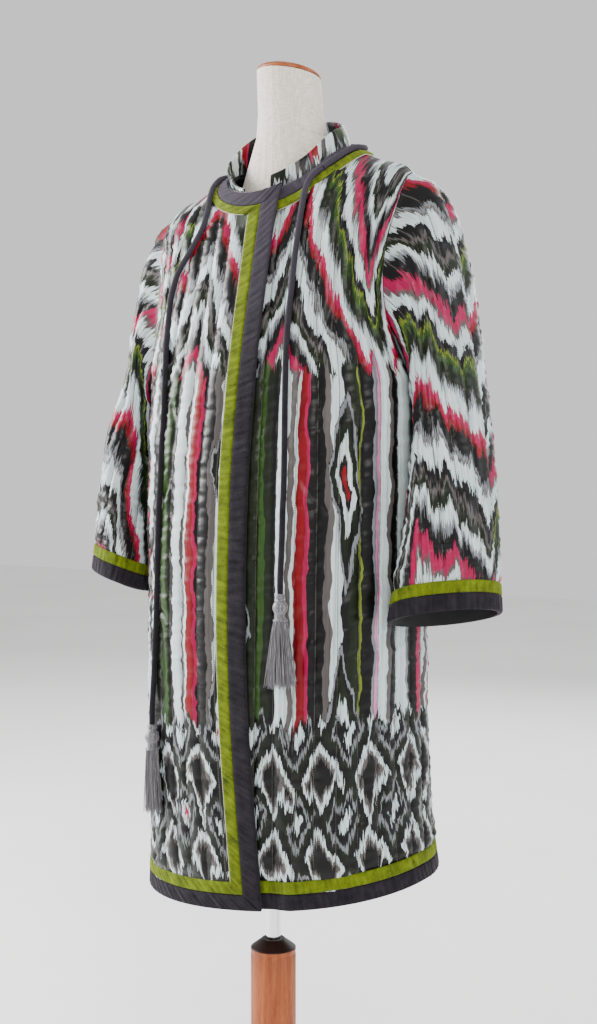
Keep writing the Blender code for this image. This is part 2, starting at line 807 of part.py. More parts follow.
def round_angles(start_x, end_x, level, start_level, count):
    """Angles from the right front's band, round the back, to the left front."""
    start = float(angle_at_x(np.array(start_level), np.array(start_x)))
    end = float(angle_at_x(np.array(level), np.array(end_x))) - 360.0
    dense = np.linspace(start, end, 4 * DENSE)
    run = line_length(body_point(level, dense))
    return np.interp(np.linspace(0, run[-1], count), run, dense)


def neck_widths(angle):
    """The grey band's width, the tie's room and the lime band's width at an angle."""
    table = np.array(NECK_BAND_POINTS)
    return [np.interp(-np.asarray(angle), -table[:, 0], table[:, k]) for k in (1, 2, 3)]


def round_band(name, end_level, start_level, near, far, start_x, end_x, count, finish):
    """A band along the hem or the neckline, all round the coat.

    Near and far give its distances from that edge at each angle, and start_level
    is where its first end is widest.
    """
    angles = round_angles(start_x, end_x, end_level, start_level, count)
    rows = []
    normals = []
    for distance in (near(angles), far(angles)):
        here, normal = coat_line(level_from(end_level, angles, distance), angles)
        left_front = (angles < -270)[:, None]
        rows.append(np.where(left_front, sunk(here, normal), here))
        normals.append(normal)
    return strip(name, np.array(rows), np.array(normals), finish)


def front_band(name, near, far, low_distance, high_distance, finish):
    """A band down the right front's edge, between two distances from that edge."""
    low = level_from(0.0, 0.0, low_distance)[0]
    high = level_from(NECKLINE, 0.0, high_distance)[0]
    levels = np.linspace(low, high, FRONT_BAND_ROWS)
    rows = []
    normals = []
    for distance in (near, far):
        x = lap_x(levels) - distance
        here, normal = coat_line(levels, angle_at_x(levels, x))
        rows.append(here)
        normals.append(normal)
    return strip(name, np.array(rows), np.array(normals), finish)


def neck_grey_far(angle):
    """The neckline's grey band ends at this distance from the neckline."""
    return NECK_BAND_START + neck_widths(angle)[0]


def neck_lime_near(angle):
    """The neckline's lime band starts past the tie's room."""
    return neck_grey_far(angle) + neck_widths(angle)[1]


def neck_lime_far(angle):
    """The neckline's lime band ends at this distance from the neckline."""
    return neck_lime_near(angle) + neck_widths(angle)[2]


def steady(distance):
    """The edge of a band that keeps one distance all the way round."""
    return lambda angle: np.full(np.shape(angle), distance)


def bands():
    """Every velvet band of the body and the sleeves."""
    inner_edge = FRONT_GREY + BAND_TO_BAND
    lime_edge = inner_edge + FRONT_LIME
    hem_top = HEM_GREY + BAND_TO_BAND
    neck_low = neck_lime_near(0.0)
    front_band("front_band_grey", 0.0, FRONT_GREY, 0.0, NECK_BAND_START, grey_velvet())
    front_band("front_band_lime", inner_edge, lime_edge, hem_top, neck_low, lime_velvet())

    lap = lap_x(HEM_START_LEVEL)
    grey_start = lap - inner_edge - BAND_TO_BAND
    lime_start = lap - lime_edge - BAND_TO_BAND
    round_band("hem_band_grey", 0.0, HEM_START_LEVEL, steady(0.0), steady(HEM_GREY),
               grey_start, HEM_BAND_END, HEM_COLUMNS, grey_velvet())
    round_band("hem_band_lime", 0.0, HEM_START_LEVEL, steady(hem_top), steady(hem_top + HEM_LIME),
               lime_start, HEM_BAND_END, HEM_COLUMNS, lime_velvet())

    grey_start = LAP_AT_NECK - inner_edge - BAND_TO_BAND
    lime_start = LAP_AT_NECK - lime_edge - BAND_TO_BAND
    round_band("neck_band_grey", NECKLINE, NECK_START_LEVEL, steady(NECK_BAND_START), neck_grey_far,
               grey_start, NECK_BAND_END, NECK_COLUMNS, grey_velvet())
    round_band("neck_band_lime", NECKLINE, NECK_LIME_START_LEVEL, neck_lime_near, neck_lime_far,
               lime_start, NECK_BAND_END, NECK_COLUMNS, lime_velvet())

    lime_start = CUFF_GREY + BAND_TO_BAND
    for side, word in ((1, "left"), (-1, "right")):
        cuff_band("cuff_grey_" + word, side, 0.0, CUFF_GREY, grey_velvet())
        cuff_band("cuff_lime_" + word, side, lime_start, lime_start + CUFF_LIME, lime_velvet())


def collar():
    """The stand collar: a wall that rises from the neckline, open at the front."""
    angles = round_angles(COLLAR_START_X, COLLAR_END_X, NECKLINE, NECKLINE, COLLAR_COLUMNS)
    table = np.array(COLLAR_POINTS)
    heights = np.interp(-angles, -table[:, 0], table[:, 1])
    leans = np.interp(-angles, -table[:, 0], table[:, 2])
    here, normal = coat_line(NECKLINE, angles)
    left_front = (angles < -270)[:, None]
    here = np.where(left_front, sunk(here, normal), here)
    outward = here - np.array([0.0, COAT_Y, 0.0])
    outward[:, 2] = 0.0
    outward /= np.linalg.norm(outward, axis=1, keepdims=True)
    foot = here - COLLAR_IN * outward + np.array([0.0, 0.0, COLLAR_UP])
    rows = []
    for share in np.linspace(0.0, 1.0, COLLAR_ROWS):
        rise = np.outer(heights * share, (0.0, 0.0, 1.0))
        rows.append(foot + rise + (leans * share)[:, None] * outward)
    outer = np.array(rows)
    inner = outer - WALL * outward
    return wall("collar", outer, inner, print_cloth(), 1, 3)


def cord(name, line):
    """A round cord along a line of points."""
    curve = bpy.data.curves.new(name, "CURVE")
    curve.dimensions = "3D"
    curve.bevel_depth = CORD_DIAMETER / 2
    curve.bevel_resolution = CORD_SIDES_RESOLUTION
    curve.use_fill_caps = True
    spline = curve.splines.new("POLY")
    spline.points.add(len(line) - 1)
    for point, place in zip(spline.points, line):
        point.co = (*place, 1.0)
    curve.materials.append(grey_velvet())
    item = bpy.data.objects.new(name, curve)
    bpy.context.scene.collection.objects.link(item)
    return item


def hanging_line(route):
    """Even points on one smooth curve through a hanging cord's route."""
    dense = cubic_rows(route, np.linspace(0, len(route) - 1, 12 * len(route)))
    count = round(line_length(dense)[-1] / HANGING_CORD_STEP)
    return resample(dense, count)


def neck_line():
    """Points of the tie round the neck, in the room between the velvet bands."""
    angles = np.linspace(NECK_CORD_FROM, NECK_CORD_TO, NECK_CORD_POINTS)
    distance = neck_grey_far(angles) + neck_widths(angles)[1] / 2
    here, normal = coat_line(level_from(NECKLINE, angles, distance), angles)
    left_front = (angles < -270)[:, None]
    here = np.where(left_front, sunk(here, normal), here)
    return here + CORD_LIFT * normal


def tie():
    """The tie round the neck, its two hanging ends and their tassels."""
    cord("tie_neck", neck_line())
    cord("tie_left", hanging_line(LEFT_ROUTE))
    cord("tie_right", hanging_line(RIGHT_ROUTE))
    drop = np.array([0.0, 0.0, SEAM_GAP])
    tassel("tassel_left", LEFT_ROUTE[-1] - drop, LEFT_FAN, LEFT_FACING)
    tassel("tassel_right", RIGHT_ROUTE[-1] - drop, RIGHT_FAN, RIGHT_FACING)


def tassel(name, top, fan, facing):
    """A tassel: knot, head and skirt cap turned in one, with strands grown from it."""
    work = bmesh.new()
    rings = []
    for radius, depth in TASSEL_PROFILE:
        ring = []
        for k in range(TASSEL_SECTORS):
            turn = 2 * math.pi * k / TASSEL_SECTORS
            ring.append(work.verts.new((radius * math.cos(turn), radius * math.sin(turn), -depth)))
        rings.append(ring)
    for upper, lower in zip(rings, rings[1:]):
        for k in range(TASSEL_SECTORS):
            after = (k + 1) % TASSEL_SECTORS
            work.faces.new((upper[k], lower[k], lower[after], upper[after]))
    work.faces.new(rings[0])
    roots = []
    previous = rings[-1]
    base_depth = TASSEL_PROFILE[-1][1]
    for radius in TASSEL_ROOT_RADII:
        ring = []
        for k in range(TASSEL_SECTORS):
            turn = 2 * math.pi * k / TASSEL_SECTORS
            ring.append(work.verts.new((radius * math.cos(turn), radius * math.sin(turn), -base_depth)))
        for k in range(TASSEL_SECTORS):
            after = (k + 1) % TASSEL_SECTORS
            roots.append(work.faces.new((previous[k], ring[k], ring[after], previous[after])))
        previous = ring
    work.faces.new(list(reversed(previous)))
    bmesh.ops.recalc_face_normals(work, faces=work.faces)
    bmesh.ops.inset_individual(work, faces=roots, thickness=STRAND_GAP)
    grown = bmesh.ops.extrude_discrete_faces(work, faces=roots)["faces"]
    for number, face in enumerate(grown):
        centre = face.calc_center_median()
        drop = TASSEL_LENGTH - base_depth + STRAND_UNEVEN * math.sin(STRAND_WAVE * number)
        for vertex in face.verts:
            offset = vertex.co - centre
            vertex.co.x = fan[0] * centre.x + offset.x * STRAND_TAPER
            vertex.co.y = fan[1] * centre.y + offset.y * STRAND_TAPER
            vertex.co.z = -base_depth - drop
    turn = Matrix.Rotation(math.radians(facing), 3, "Z")
    bmesh.ops.rotate(work, verts=work.verts, cent=(0.0, 0.0, 0.0), matrix=turn)
    bmesh.ops.translate(work, verts=work.verts, vec=top)
    bmesh.ops.triangulate(work, faces=work.faces)
    mesh = bpy.data.meshes.new(name)
    work.to_mesh(mesh)
    work.free()
    mesh.materials.append(material("tassel_silk", (0.30, 0.29, 0.32), 0.6))
    item = bpy.data.objects.new(name, mesh)
    bpy.context.scene.collection.objects.link(item)
    return item


def lathe(name, profile, sides, finish, place=(0.0, 0.0, 0.0), turn=(0.0, 0.0, 0.0)):
    """A turned solid from (radius, height) pairs, closed on its axis."""
    points = []
    for radius, height in profile:
        for k in range(sides):
            angle = 2 * math.pi * k / sides
            points.append((radius * math.cos(angle), radius * math.sin(angle), height))
    faces = [tuple(range(sides))]
    for row in range(len(profile) - 1):
        for k in range(sides):
            after = (k + 1) % sides
            faces.append((row * sides + k, row * sides + after,
                          (row + 1) * sides + after, (row + 1) * sides + k))
    faces.append(tuple((len(profile) - 1) * sides + k for k in range(sides)))
    item = build_mesh(name, points, faces, finish)
    item.location = place
    item.rotation_euler = turn
    return item


def torso():
    """The form's body: a loft that meets the coat only along the shoulders."""
    angles = np.linspace(0, 360, TORSO_SIDES, endpoint=False)
    turns = np.radians(angles)
    rings = []
    for side, front, back, half_width, front_depth, back_depth, power, _, blend in TORSO_SECTIONS:
        across = signed_power(np.sin(turns), 2 / power)
        along = signed_power(np.cos(turns), 2 / power)
        depth = np.where(along > 0, front_depth, back_depth)
        end = np.where(along > 0, front, back)
        z = side + (end - side) * np.abs(np.cos(turns)) ** blend
        rings.append(np.stack([half_width * across, COAT_Y - depth * along, z], axis=-1))
    for level, further in SHOULDER_RINGS:
        here, normal = coat_line(level, angles)
        inset = WALL + SHOULDER_CLEAR + further + SHOULDER_FALL * np.abs(np.cos(turns))
        rings.append(here - inset[:, None] * normal)
    for height, radius, shift in NECK_RINGS:
        z = np.full(len(turns), height)
        if height == NECK_TOP:
            z = z + NECK_TOP_SLOPE_X * radius * np.sin(turns) - NECK_TOP_SLOPE_Y * radius * np.cos(turns)
        rings.append(np.stack([radius * np.sin(turns), COAT_Y + shift - radius * np.cos(turns), z], axis=-1))
    points = np.concatenate(rings)
    faces = [tuple(range(TORSO_SIDES))]
    for row in range(len(rings) - 1):
        for k in range(TORSO_SIDES):
            after = (k + 1) % TORSO_SIDES
            faces.append((row * TORSO_SIDES + k, row * TORSO_SIDES + after,
                          (row + 1) * TORSO_SIDES + after, (row + 1) * TORSO_SIDES + k))
    faces.append(tuple((len(rings) - 1) * TORSO_SIDES + k for k in range(TORSO_SIDES)))
    return build_mesh("torso", points, faces, linen())


def stand():
    """Neck cap, base plate, rod, post and base disc."""
    neck_shift = NECK_RINGS[-1][2]
    tilt_x = -math.atan(-NECK_TOP_SLOPE_Y)
    tilt_y = -math.atan(NECK_TOP_SLOPE_X)
    lathe("neck_cap", CAP_PROFILE, CAP_SIDES, wood(),
          (0.0, COAT_Y + neck_shift, NECK_TOP + SEAM_GAP), (tilt_x, tilt_y, 0.0))
    plate_top = TORSO_BOTTOM - SEAM_GAP
    lathe("base_plate", ((PLATE_RADIUS, plate_top - PLATE_THICK), (PLATE_RADIUS, plate_top)),
          PLATE_SIDES, wood(), (0.0, PLATE_Y, 0.0))
    rod_top = plate_top - PLATE_THICK - SEAM_GAP
    chrome = material("chromed_steel", (0.80, 0.81, 0.82), 0.2, 1.0)
    lathe("rod", ((ROD_RADIUS, POST_TOP + SEAM_GAP), (ROD_RADIUS, rod_top)), ROD_SIDES, chrome)
    crown = [(POST_RADIUS * wide, POST_TOP - POST_SHOULDER * low) for wide, low in POST_CROWN]
    straight = [(POST_RADIUS, BASE_THICK + SEAM_GAP), (POST_RADIUS, POST_TOP - POST_SHOULDER)]
    lathe("post", straight + crown, POST_SIDES, wood())
    edge = BASE_EDGE
    lathe("base", ((BASE_RADIUS - edge, 0.0), (BASE_RADIUS, edge), (BASE_RADIUS, BASE_THICK - edge),
                   (BASE_RADIUS - edge, BASE_THICK)), BASE_SIDES, wood())


clear_scene()
front_panel("front_right", -1)
front_panel("front_left", 1)
back_panel()
sleeve("sleeve_left", 1)
sleeve("sleeve_right", -1)
bands()
collar()
tie()
torso()
stand()
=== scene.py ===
"""Quilted coat with velvet bands and a tasselled tie, worn on a limbless dress form.

The visible model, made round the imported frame.  Metres, +Z up, coat front -Y,
wearer's left +X.  Cloth, velvet and cords follow the formulas of the solids.
"""
import math
from collections import namedtuple

import bmesh
import bpy
import numpy as np
from mathutils import Matrix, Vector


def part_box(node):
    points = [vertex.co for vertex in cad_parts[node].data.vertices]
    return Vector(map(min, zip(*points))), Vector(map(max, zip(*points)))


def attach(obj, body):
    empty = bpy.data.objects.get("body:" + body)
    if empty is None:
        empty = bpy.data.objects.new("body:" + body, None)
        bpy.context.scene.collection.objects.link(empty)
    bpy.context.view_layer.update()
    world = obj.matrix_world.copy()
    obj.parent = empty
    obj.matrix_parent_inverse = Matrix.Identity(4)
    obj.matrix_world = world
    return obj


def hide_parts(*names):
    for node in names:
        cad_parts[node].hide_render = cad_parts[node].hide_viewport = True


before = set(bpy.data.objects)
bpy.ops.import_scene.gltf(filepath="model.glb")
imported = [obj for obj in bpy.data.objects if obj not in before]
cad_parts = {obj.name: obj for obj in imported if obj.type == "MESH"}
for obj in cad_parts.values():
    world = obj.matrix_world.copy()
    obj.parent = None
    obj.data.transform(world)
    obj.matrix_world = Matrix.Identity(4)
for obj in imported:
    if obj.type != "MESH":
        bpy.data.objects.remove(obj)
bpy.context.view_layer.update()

bl_info = {
    "name": "Quilted coat on dress form",
    "version": (1, 0, 0),
    "blender": (4, 5, 0),
    "location": "3D View > Sidebar > Coat",
    "description": "Makes a quilted coat with velvet bands on a dress form",
    "category": "Add Mesh",
}

# Cloth
WALL = 0.003
SEAM_GAP = 0.0003
EDGE_PULL = 0.0004
COAT_Y = 0.050
LAP_INSET = 0.0092
LAP_FULL_X = 0.056
LAP_FREE_X = 0.092
LAP_AT_NECK = 0.034
LAP_AT_HEM = 0.048
LAP_LEVELS = 3
LEFT_FRONT_FROM = -270
ROW_STEP = 0.0042
POINTS_PER_CHANNEL = 12
FRONT_CHANNELS = 10
PLAIN_SHARE = 0.150
PLAIN_COLUMNS = 8
BACK_CHANNELS = 18
SLEEVE_CHANNELS = 14
DENSE = 160

# Padding between the lines of stitching, and the puckers that the stitches draw in
PUFF_RISE = 0.0044
PUFF_ROUND = 0.60
SWELL_SHARE = 0.22
SWELL_LENGTHS = (0.047, 0.081, 0.120)
PUCKER_DEEP = 0.0019
PUCKER_LENGTHS = (0.0094, 0.0131, 0.0183, 0.0274)
PUCKER_FADE = 1.3
PUCKER_ONSET = 2.2
WAVE_ROWS = 400
FRONT_SEEDS = {1: 20, -1: 30}
BACK_SEED = 40
SLEEVE_SEEDS = {1: 50, -1: 60}
# The padding ends beside the velvet, and is pressed flat beside the upper side seams
NECK_PLAIN = 0.052
NECK_FADE = 0.014
HEM_FADE = 0.012
BAND_TUCK = 0.002
PRESSED_FROM = 3.2
PRESSED_LEVELS = 0.6
PRESSED_CHANNELS = 1.2
PRESSED_SHARE = 0.8
CREASE_FADE = 0.04
CREASE_CUT = 0.0015
EDGE_KEEP = 0.12
SEAM_KEEP = 0.06
SLEEVE_HEAD_PLAIN = 0.008
SLEEVE_HEAD_FADE = 0.030
SLEEVE_HEAD_SMOOTH = 0.02
CUFF_SMOOTH = 0.05

# Where each piece is cut from the printed cloth, in metres across it and along it
CUT_FRONT = 0.6
CUT_FRONT_STEP = 0.037
CUT_BACK = 2.0
CUT_SLEEVE = 3.0
CUT_SLEEVE_STEP = 1.2
CUT_SLEEVE_TOP = 2.2
CUT_COLLAR = 5.0
CUT_COLLAR_FOOT = 0.63

# Velvet bands
BAND_THICK = 0.0020
BAND_LIFT = 0.0009
BAND_FOOT = 0.0002
CUFF_LIFT = 0.0014
BAND_TO_BAND = 0.0004
HEM_GREY = 0.022
HEM_LIME = 0.017
FRONT_GREY = 0.026
FRONT_LIME = 0.018
CUFF_GREY = 0.022
CUFF_LIME = 0.016
HEM_BAND_END = 0.020
NECK_BAND_END = 0.018
NECK_BAND_START = 0.0012
# Round the neck: angle, width of the grey band, room for the tie, width of the lime band
NECK_BAND_POINTS = (
    (-15, 0.0200, 0.0004, 0.0115),
    (-50, 0.0190, 0.0004, 0.0115),
    (-95, 0.0145, 0.0080, 0.0120),
    (-300, 0.0145, 0.0080, 0.0125),
    (-318, 0.0180, 0.0020, 0.0125),
    (-350, 0.0190, 0.0004, 0.0125),
)

# Collar
COLLAR_START_X = -0.026
COLLAR_END_X = 0.013
COLLAR_IN = 0.0006
COLLAR_UP = 0.0008
# Round the neck from the right front: angle, height, and how far the top leans out
COLLAR_POINTS = (
    (-20, 0.003, 0.000),
    (-40, 0.014, 0.002),
    (-60, 0.023, 0.004),
    (-76, 0.026, 0.004),
    (-90, 0.034, 0.002),
    (-104, 0.049, -0.003),
    (-125, 0.047, -0.006),
    (-180, 0.036, -0.009),
    (-240, 0.028, -0.012),
    (-280, 0.029, -0.008),
    (-315, 0.027, -0.004),
    (-350, 0.022, -0.002),
)

# Tie
CORD_DIAMETER = 0.008
CORD_LIFT = 0.0068
NECK_CORD_FROM = -84.0
NECK_CORD_TO = -308.0
NECK_CORD_POINTS = 90
CORD_STEP = 0.0062
CORD_FINENESS = 6
ROUTE_FINENESS = 16
LEFT_ROUTE = (
    (0.0870, -0.0124, 1.3816),
    (0.0817, -0.0178, 1.3768),
    (0.0765, -0.0224, 1.3697),
    (0.0730, -0.0281, 1.3596),
    (0.0719, -0.0345, 1.3466),
    (0.0729, -0.0402, 1.3320),
    (0.0743, -0.0487, 1.3100),
    (0.0744, -0.0550, 1.2880),
    (0.0740, -0.0622, 1.2570),
    (0.0751, -0.0702, 1.2225),
    (0.0756, -0.0784, 1.1850),
    (0.0766, -0.0858, 1.1480),
    (0.0791, -0.0924, 1.1125),
    (0.0819, -0.0983, 1.0760),
    (0.0860, -0.1062, 1.0170),
    (0.0880, -0.1110, 0.9590),
    (0.0880, -0.1138, 0.9265),
    (0.0880, -0.1155, 0.8900),
    (0.0893, -0.1203, 0.8560),
    (0.0908, -0.1243, 0.8360),
    (0.0910, -0.1245, 0.8190),
)
RIGHT_ROUTE = (
    (-0.1071, 0.0358, 1.3909),
    (-0.1069, 0.0285, 1.3888),
    (-0.1052, 0.0170, 1.3825),
    (-0.1022, 0.0036, 1.3735),
    (-0.0970, -0.0095, 1.3628),
    (-0.0908, -0.0228, 1.3495),
    (-0.0862, -0.0332, 1.3350),
    (-0.0850, -0.0410, 1.3200),
    (-0.0882, -0.0474, 1.3038),
    (-0.1021, -0.0535, 1.2772),
    (-0.1194, -0.0552, 1.2525),
    (-0.1290, -0.0545, 1.2318),
    (-0.1330, -0.0575, 1.2097),
    (-0.1325, -0.0642, 1.1757),
    (-0.1292, -0.0734, 1.1402),
    (-0.1260, -0.0806, 1.0930),
    (-0.1240, -0.0866, 1.0473),
    (-0.1222, -0.0940, 1.0031),
    (-0.1216, -0.0984, 0.9549),
    (-0.1234, -0.0998, 0.9135),
    (-0.1260, -0.0990, 0.8648),
    (-0.1286, -0.0975, 0.8173),
    (-0.1315, -0.0966, 0.7585),
    (-0.1340, -0.0975, 0.6992),
    (-0.1342, -0.1010, 0.6620),
    (-0.1340, -0.1032, 0.6400),
    (-0.1340, -0.1035, 0.6220),
)

# Tassels: radius and depth below the top of the knot, head, neck and skirt cap
TASSEL_PROFILE = (
    (0.0010, 0.0000),
    (0.0046, 0.0004),
    (0.0060, 0.0024),
    (0.0062, 0.0044),
    (0.0056, 0.0064),
    (0.0044, 0.0080),
    (0.0060, 0.0098),
    (0.0084, 0.0130),
    (0.0097, 0.0170),
    (0.0094, 0.0208),
    (0.0080, 0.0240),
    (0.0066, 0.0262),
    (0.0064, 0.0290),
    (0.0069, 0.0320),
    (0.0088, 0.0338),
    (0.0092, 0.0356),
    (0.0040, 0.0362),
)
TASSEL_SIDES = 28
TASSEL_FINENESS = 5
TASSEL_SHARP = 60
TASSEL_WRAP_RISE = 0.00035
TASSEL_WRAP_STEP = 0.0011
TASSEL_WRAP_FROM = 0.004
TASSEL_LENGTH = 0.122
TASSEL_ROOT = 0.034
STRANDS = 120
STRAND_RADIUS = 0.00062
STRAND_TAPER = 0.35
STRAND_SIDES = 4
STRAND_POINTS = 9
STRAND_REACH = 0.0082
STRAND_SCATTER = 0.0010
STRAND_UNEVEN = (-0.004, 0.003)
STRAND_FLARE = 0.78
STRAND_SWAY = 0.0006
STRAND_WAVES = (3, 7)
STRAND_PHASES = (0, 6.3)
STRAND_THICKNESS = (0.85, 1.15)
GOLDEN_ANGLE = 2.39996
LEFT_FAN = (2.7, 1.15)
LEFT_FACING = 9.0
LEFT_SEED = 11
RIGHT_FAN = (2.1, 1.15)
RIGHT_FACING = -22.0
RIGHT_SEED = 12

# Dress form and stand
NECK_TOP = 1.524
NECK_TOP_SLOPE_X = -0.10
NECK_TOP_SLOPE_Y = -0.12
NECK_SHIFT = -0.008
POST_RADIUS = 0.032
POST_TOP = 0.314
POST_SHOULDER = 0.013
POST_GROOVE_BELOW = 0.020
POST_DARK_FROM = 0.3002
POST_DARK_TO = 0.3180
POST_EDGE = 0.0012
POST_EDGE_TURNS = (0.0, 0.8, math.pi / 2)
# Share of the groove's depth and place above its middle; share of the radius and of the shoulder's height
POST_GROOVE = ((0.0, -0.0024), (0.7, -0.0012), (1.0, 0.0), (0.7, 0.0012), (0.0, 0.0024))
POST_CROWN = ((1.0, 1.0), (0.99, 0.95), (0.97, 0.90), (0.52, 0.0008 / POST_SHOULDER), (0.50, 0.0))
PLATE_EDGE = 0.0015
ROD_EDGE = 0.0006
WOOD_SIDES = 96
ROD_SIDES = 64
BASE_SIDES = 128
TURNED_SHARP = 35
# The neck cap's radius and height
CAP_PROFILE = (
    (0.0430, 0.0000), (0.0452, 0.0006), (0.0456, 0.0014), (0.0455, 0.0026), (0.0446, 0.0042),
    (0.0425, 0.0060), (0.0390, 0.0079), (0.0340, 0.0098), (0.0280, 0.0115), (0.0210, 0.0129),
    (0.0130, 0.0139), (0.0050, 0.0143), (0.0005, 0.0144))
BASE_RADIUS = 0.190
BASE_THICK = 0.026

# Camera, found by laying the frame over the photograph
CAMERA_DISTANCE = 2.13
CAMERA_HEIGHT = 1.026
CAMERA_AZIMUTH = 32.0
CAMERA_PITCH = -3.0
CAMERA_YAW = -0.25
SENSOR = 36.0
LENS = 1500 / 1024 * SENSOR
CLIP = (0.05, 60.0)

# Daylight: place, aim, width, power and tint of each soft window
LAMPS = (
    ("window_left", (-2.9, -0.9, 2.0), (0.0, 0.0, 1.0), 1.6, 250.0, "#ffffff"),
    ("window_front", (2.4, -2.6, 2.9), (0.0, 0.0, 0.9), 1.7, 95.0, "#fffdf8"),
    ("fill_right", (3.2, 0.9, 1.8), (0.1, 0.0, 1.0), 1.8, 38.0, "#f6f8ff"),
    ("fill_back", (-0.6, 3.2, 2.4), (0.0, 0.1, 1.0), 2.4, 95.0, "#ffffff"),
)
SKY_TINT = "#fafafa"
SKY_STRENGTH = 0.95
FLOOR_SIZE = 14.0
FLOOR_DROP = 0.0006

# The coat's cross sections from hem to neckline, as in the solids
Section = namedtuple(
    "Section", "side front back half_width front_depth back_depth power slant blend")
SECTIONS = (
    Section(0.399, 0.383, 0.415, 0.216, 0.157, 0.150, 2.20, 0.100, 1.4),
    Section(0.500, 0.489, 0.510, 0.209, 0.165, 0.116, 2.20, 0.090, 1.4),
    Section(0.640, 0.635, 0.645, 0.205, 0.172, 0.098, 2.20, 0.080, 1.4),
    Section(0.800, 0.798, 0.802, 0.205, 0.173, 0.098, 2.20, 0.070, 1.4),
    Section(0.955, 0.953, 0.955, 0.208, 0.166, 0.110, 2.25, 0.060, 1.4),
    Section(1.082, 1.076, 1.085, 0.206, 0.150, 0.122, 2.30, 0.055, 1.4),
    Section(1.186, 1.160, 1.180, 0.203, 0.134, 0.124, 2.35, 0.055, 1.4),
    Section(1.281, 1.228, 1.260, 0.199, 0.118, 0.113, 2.35, 0.060, 1.4),
    Section(1.360, 1.286, 1.330, 0.190, 0.104, 0.102, 2.30, 0.078, 1.4),
    Section(1.386, 1.322, 1.385, 0.138, 0.095, 0.086, 2.15, 0.090, 1.3),
    Section(1.406, 1.355, 1.433, 0.087, 0.086, 0.070, 2.05, 0.118, 1.1),
)
FRONT_BLEND = 1.4
UNDERARM = 5.0
SHOULDER = 8.0
NECKLINE = 10.0
ARMHOLE_BITE = 28.0
ARMHOLE_SCOOP = 0.55

SleeveSection = namedtuple(
    "SleeveSection", "outer_x outer_y outer_z inner_x inner_y inner_z half_depth front_rise")
SLEEVE_SECTIONS = (
    SleeveSection(0.190, 0.000, 1.377, 0.206, 0.000, 1.095, 0.072, 0.000),
    SleeveSection(0.224, 0.012, 1.350, 0.219, 0.006, 1.050, 0.076, 0.002),
    SleeveSection(0.253, 0.015, 1.262, 0.219, 0.004, 1.000, 0.077, 0.004),
    SleeveSection(0.272, 0.013, 1.155, 0.217, -0.008, 0.950, 0.075, 0.005),
    SleeveSection(0.297, -0.004, 1.050, 0.217, -0.036, 0.900, 0.073, 0.006),
    SleeveSection(0.312, -0.010, 0.944, 0.212, -0.057, 0.844, 0.066, 0.009),
    SleeveSection(0.325, -0.015, 0.795, 0.207, -0.082, 0.775, 0.0575, 0.0125),
)
SLEEVE_BLEND = 1.6
SLEEVE_START_IN = 0.0006
SLEEVE_START_OUT = 0.0006
RIGHT_CUFF_LIFT = 0.024
RIGHT_DRAW_IN = 0.018
RIGHT_SHOULDER_DROP = 0.020
RIGHT_DROP_LEVELS = 3.0

# Fineness of the shapes, and lengths below any measure of the coat
RISE_POINTS = 40
RISE_STRIDE = 8
LOW_ROWS_POWER = 1.15
SLOPE_STEP = 0.01
BAND_REACH_LEVELS = 2.2
WIDTH_ROW = 60
ARMHOLE_POINTS = 60
RING_POINTS = 120
SLEEVE_STEPS = 121
TINY = 1e-12
HAIR = 1e-6
SHARP_EDGE = 62


# Shapes

def cubic_rows(rows, level):
    """Read a table of rows at a fractional row number, by Catmull-Rom curves."""
    table = np.array(rows, dtype=float)
    last = len(table) - 1
    level = np.clip(np.asarray(level, dtype=float), 0.0, last)
    base = np.minimum(level.astype(int), last - 1)
    part = (level - base)[..., None]
    before = table[np.maximum(base - 1, 0)]
    start = table[base]
    end = table[base + 1]
    after = table[np.minimum(base + 2, last)]
    tangent_start = (end - before) / 2
    tangent_end = (after - start) / 2
    square = part * part
    cube = square * part
    return ((2 * cube - 3 * square + 1) * start + (cube - 2 * square + part) * tangent_start
            + (3 * square - 2 * cube) * end + (cube - square) * tangent_end)


def smooth_step(value):
    """Ease from 0 to 1 as the value goes from 0 to 1."""
    value = np.clip(value, 0.0, 1.0)
    return value * value * (3 - 2 * value)


def signed_power(value, power):
    """A power that keeps the sign."""
    return np.sign(value) * np.abs(value) ** power


def section_at(level):
    """The coat's cross section at a level, by name."""
    return Section(*np.moveaxis(cubic_rows(SECTIONS, level), -1, 0))


def unit(vectors):
    """Vectors of length one."""
    return vectors / np.maximum(np.linalg.norm(vectors, axis=-1, keepdims=True), TINY)


def paired(first, second):
    """Two arrays of numbers side by side, as places on the cloth."""
    return np.stack(np.broadcast_arrays(first, second), axis=-1)


def body_point(level, angle):
    """A point of the coat's surface; angle 0 is centre front, 90 the left side."""
    level, angle = np.broadcast_arrays(np.asarray(level, float), np.asarray(angle, float))
    row = section_at(level)
    turn = np.radians(angle)
    across = signed_power(np.sin(turn), 2 / row.power)
    along = signed_power(np.cos(turn), 2 / row.power)
    in_front = along > 0
    depth = np.where(in_front, row.front_depth, row.back_depth)
    end_height = np.where(in_front, row.front, row.back)
    x = row.half_width * across
    share = np.abs(np.cos(turn)) ** np.where(in_front, FRONT_BLEND, row.blend)
    z = row.side + (end_height - row.side) * share + row.slant * x
    return np.stack([x, COAT_Y - depth * along, z], axis=-1)


def angle_at_x(level, x):
    """The angle in the front half at which a section reaches a given x."""
    row = section_at(level)
    share = np.clip(np.abs(x) / row.half_width, 0.0, 1.0)
    return np.sign(x) * np.degrees(np.arcsin(share ** (row.power / 2)))


def edge_angle(level, x):
    """The angle of one point of an edge, from its level and its x."""
    return float(angle_at_x(np.array(level), np.array(x)))


def lap_x(level):
    """How far the front edge passes the centre front."""
    return LAP_AT_HEM + (LAP_AT_NECK - LAP_AT_HEM) * smooth_step(np.asarray(level, float) / LAP_LEVELS)


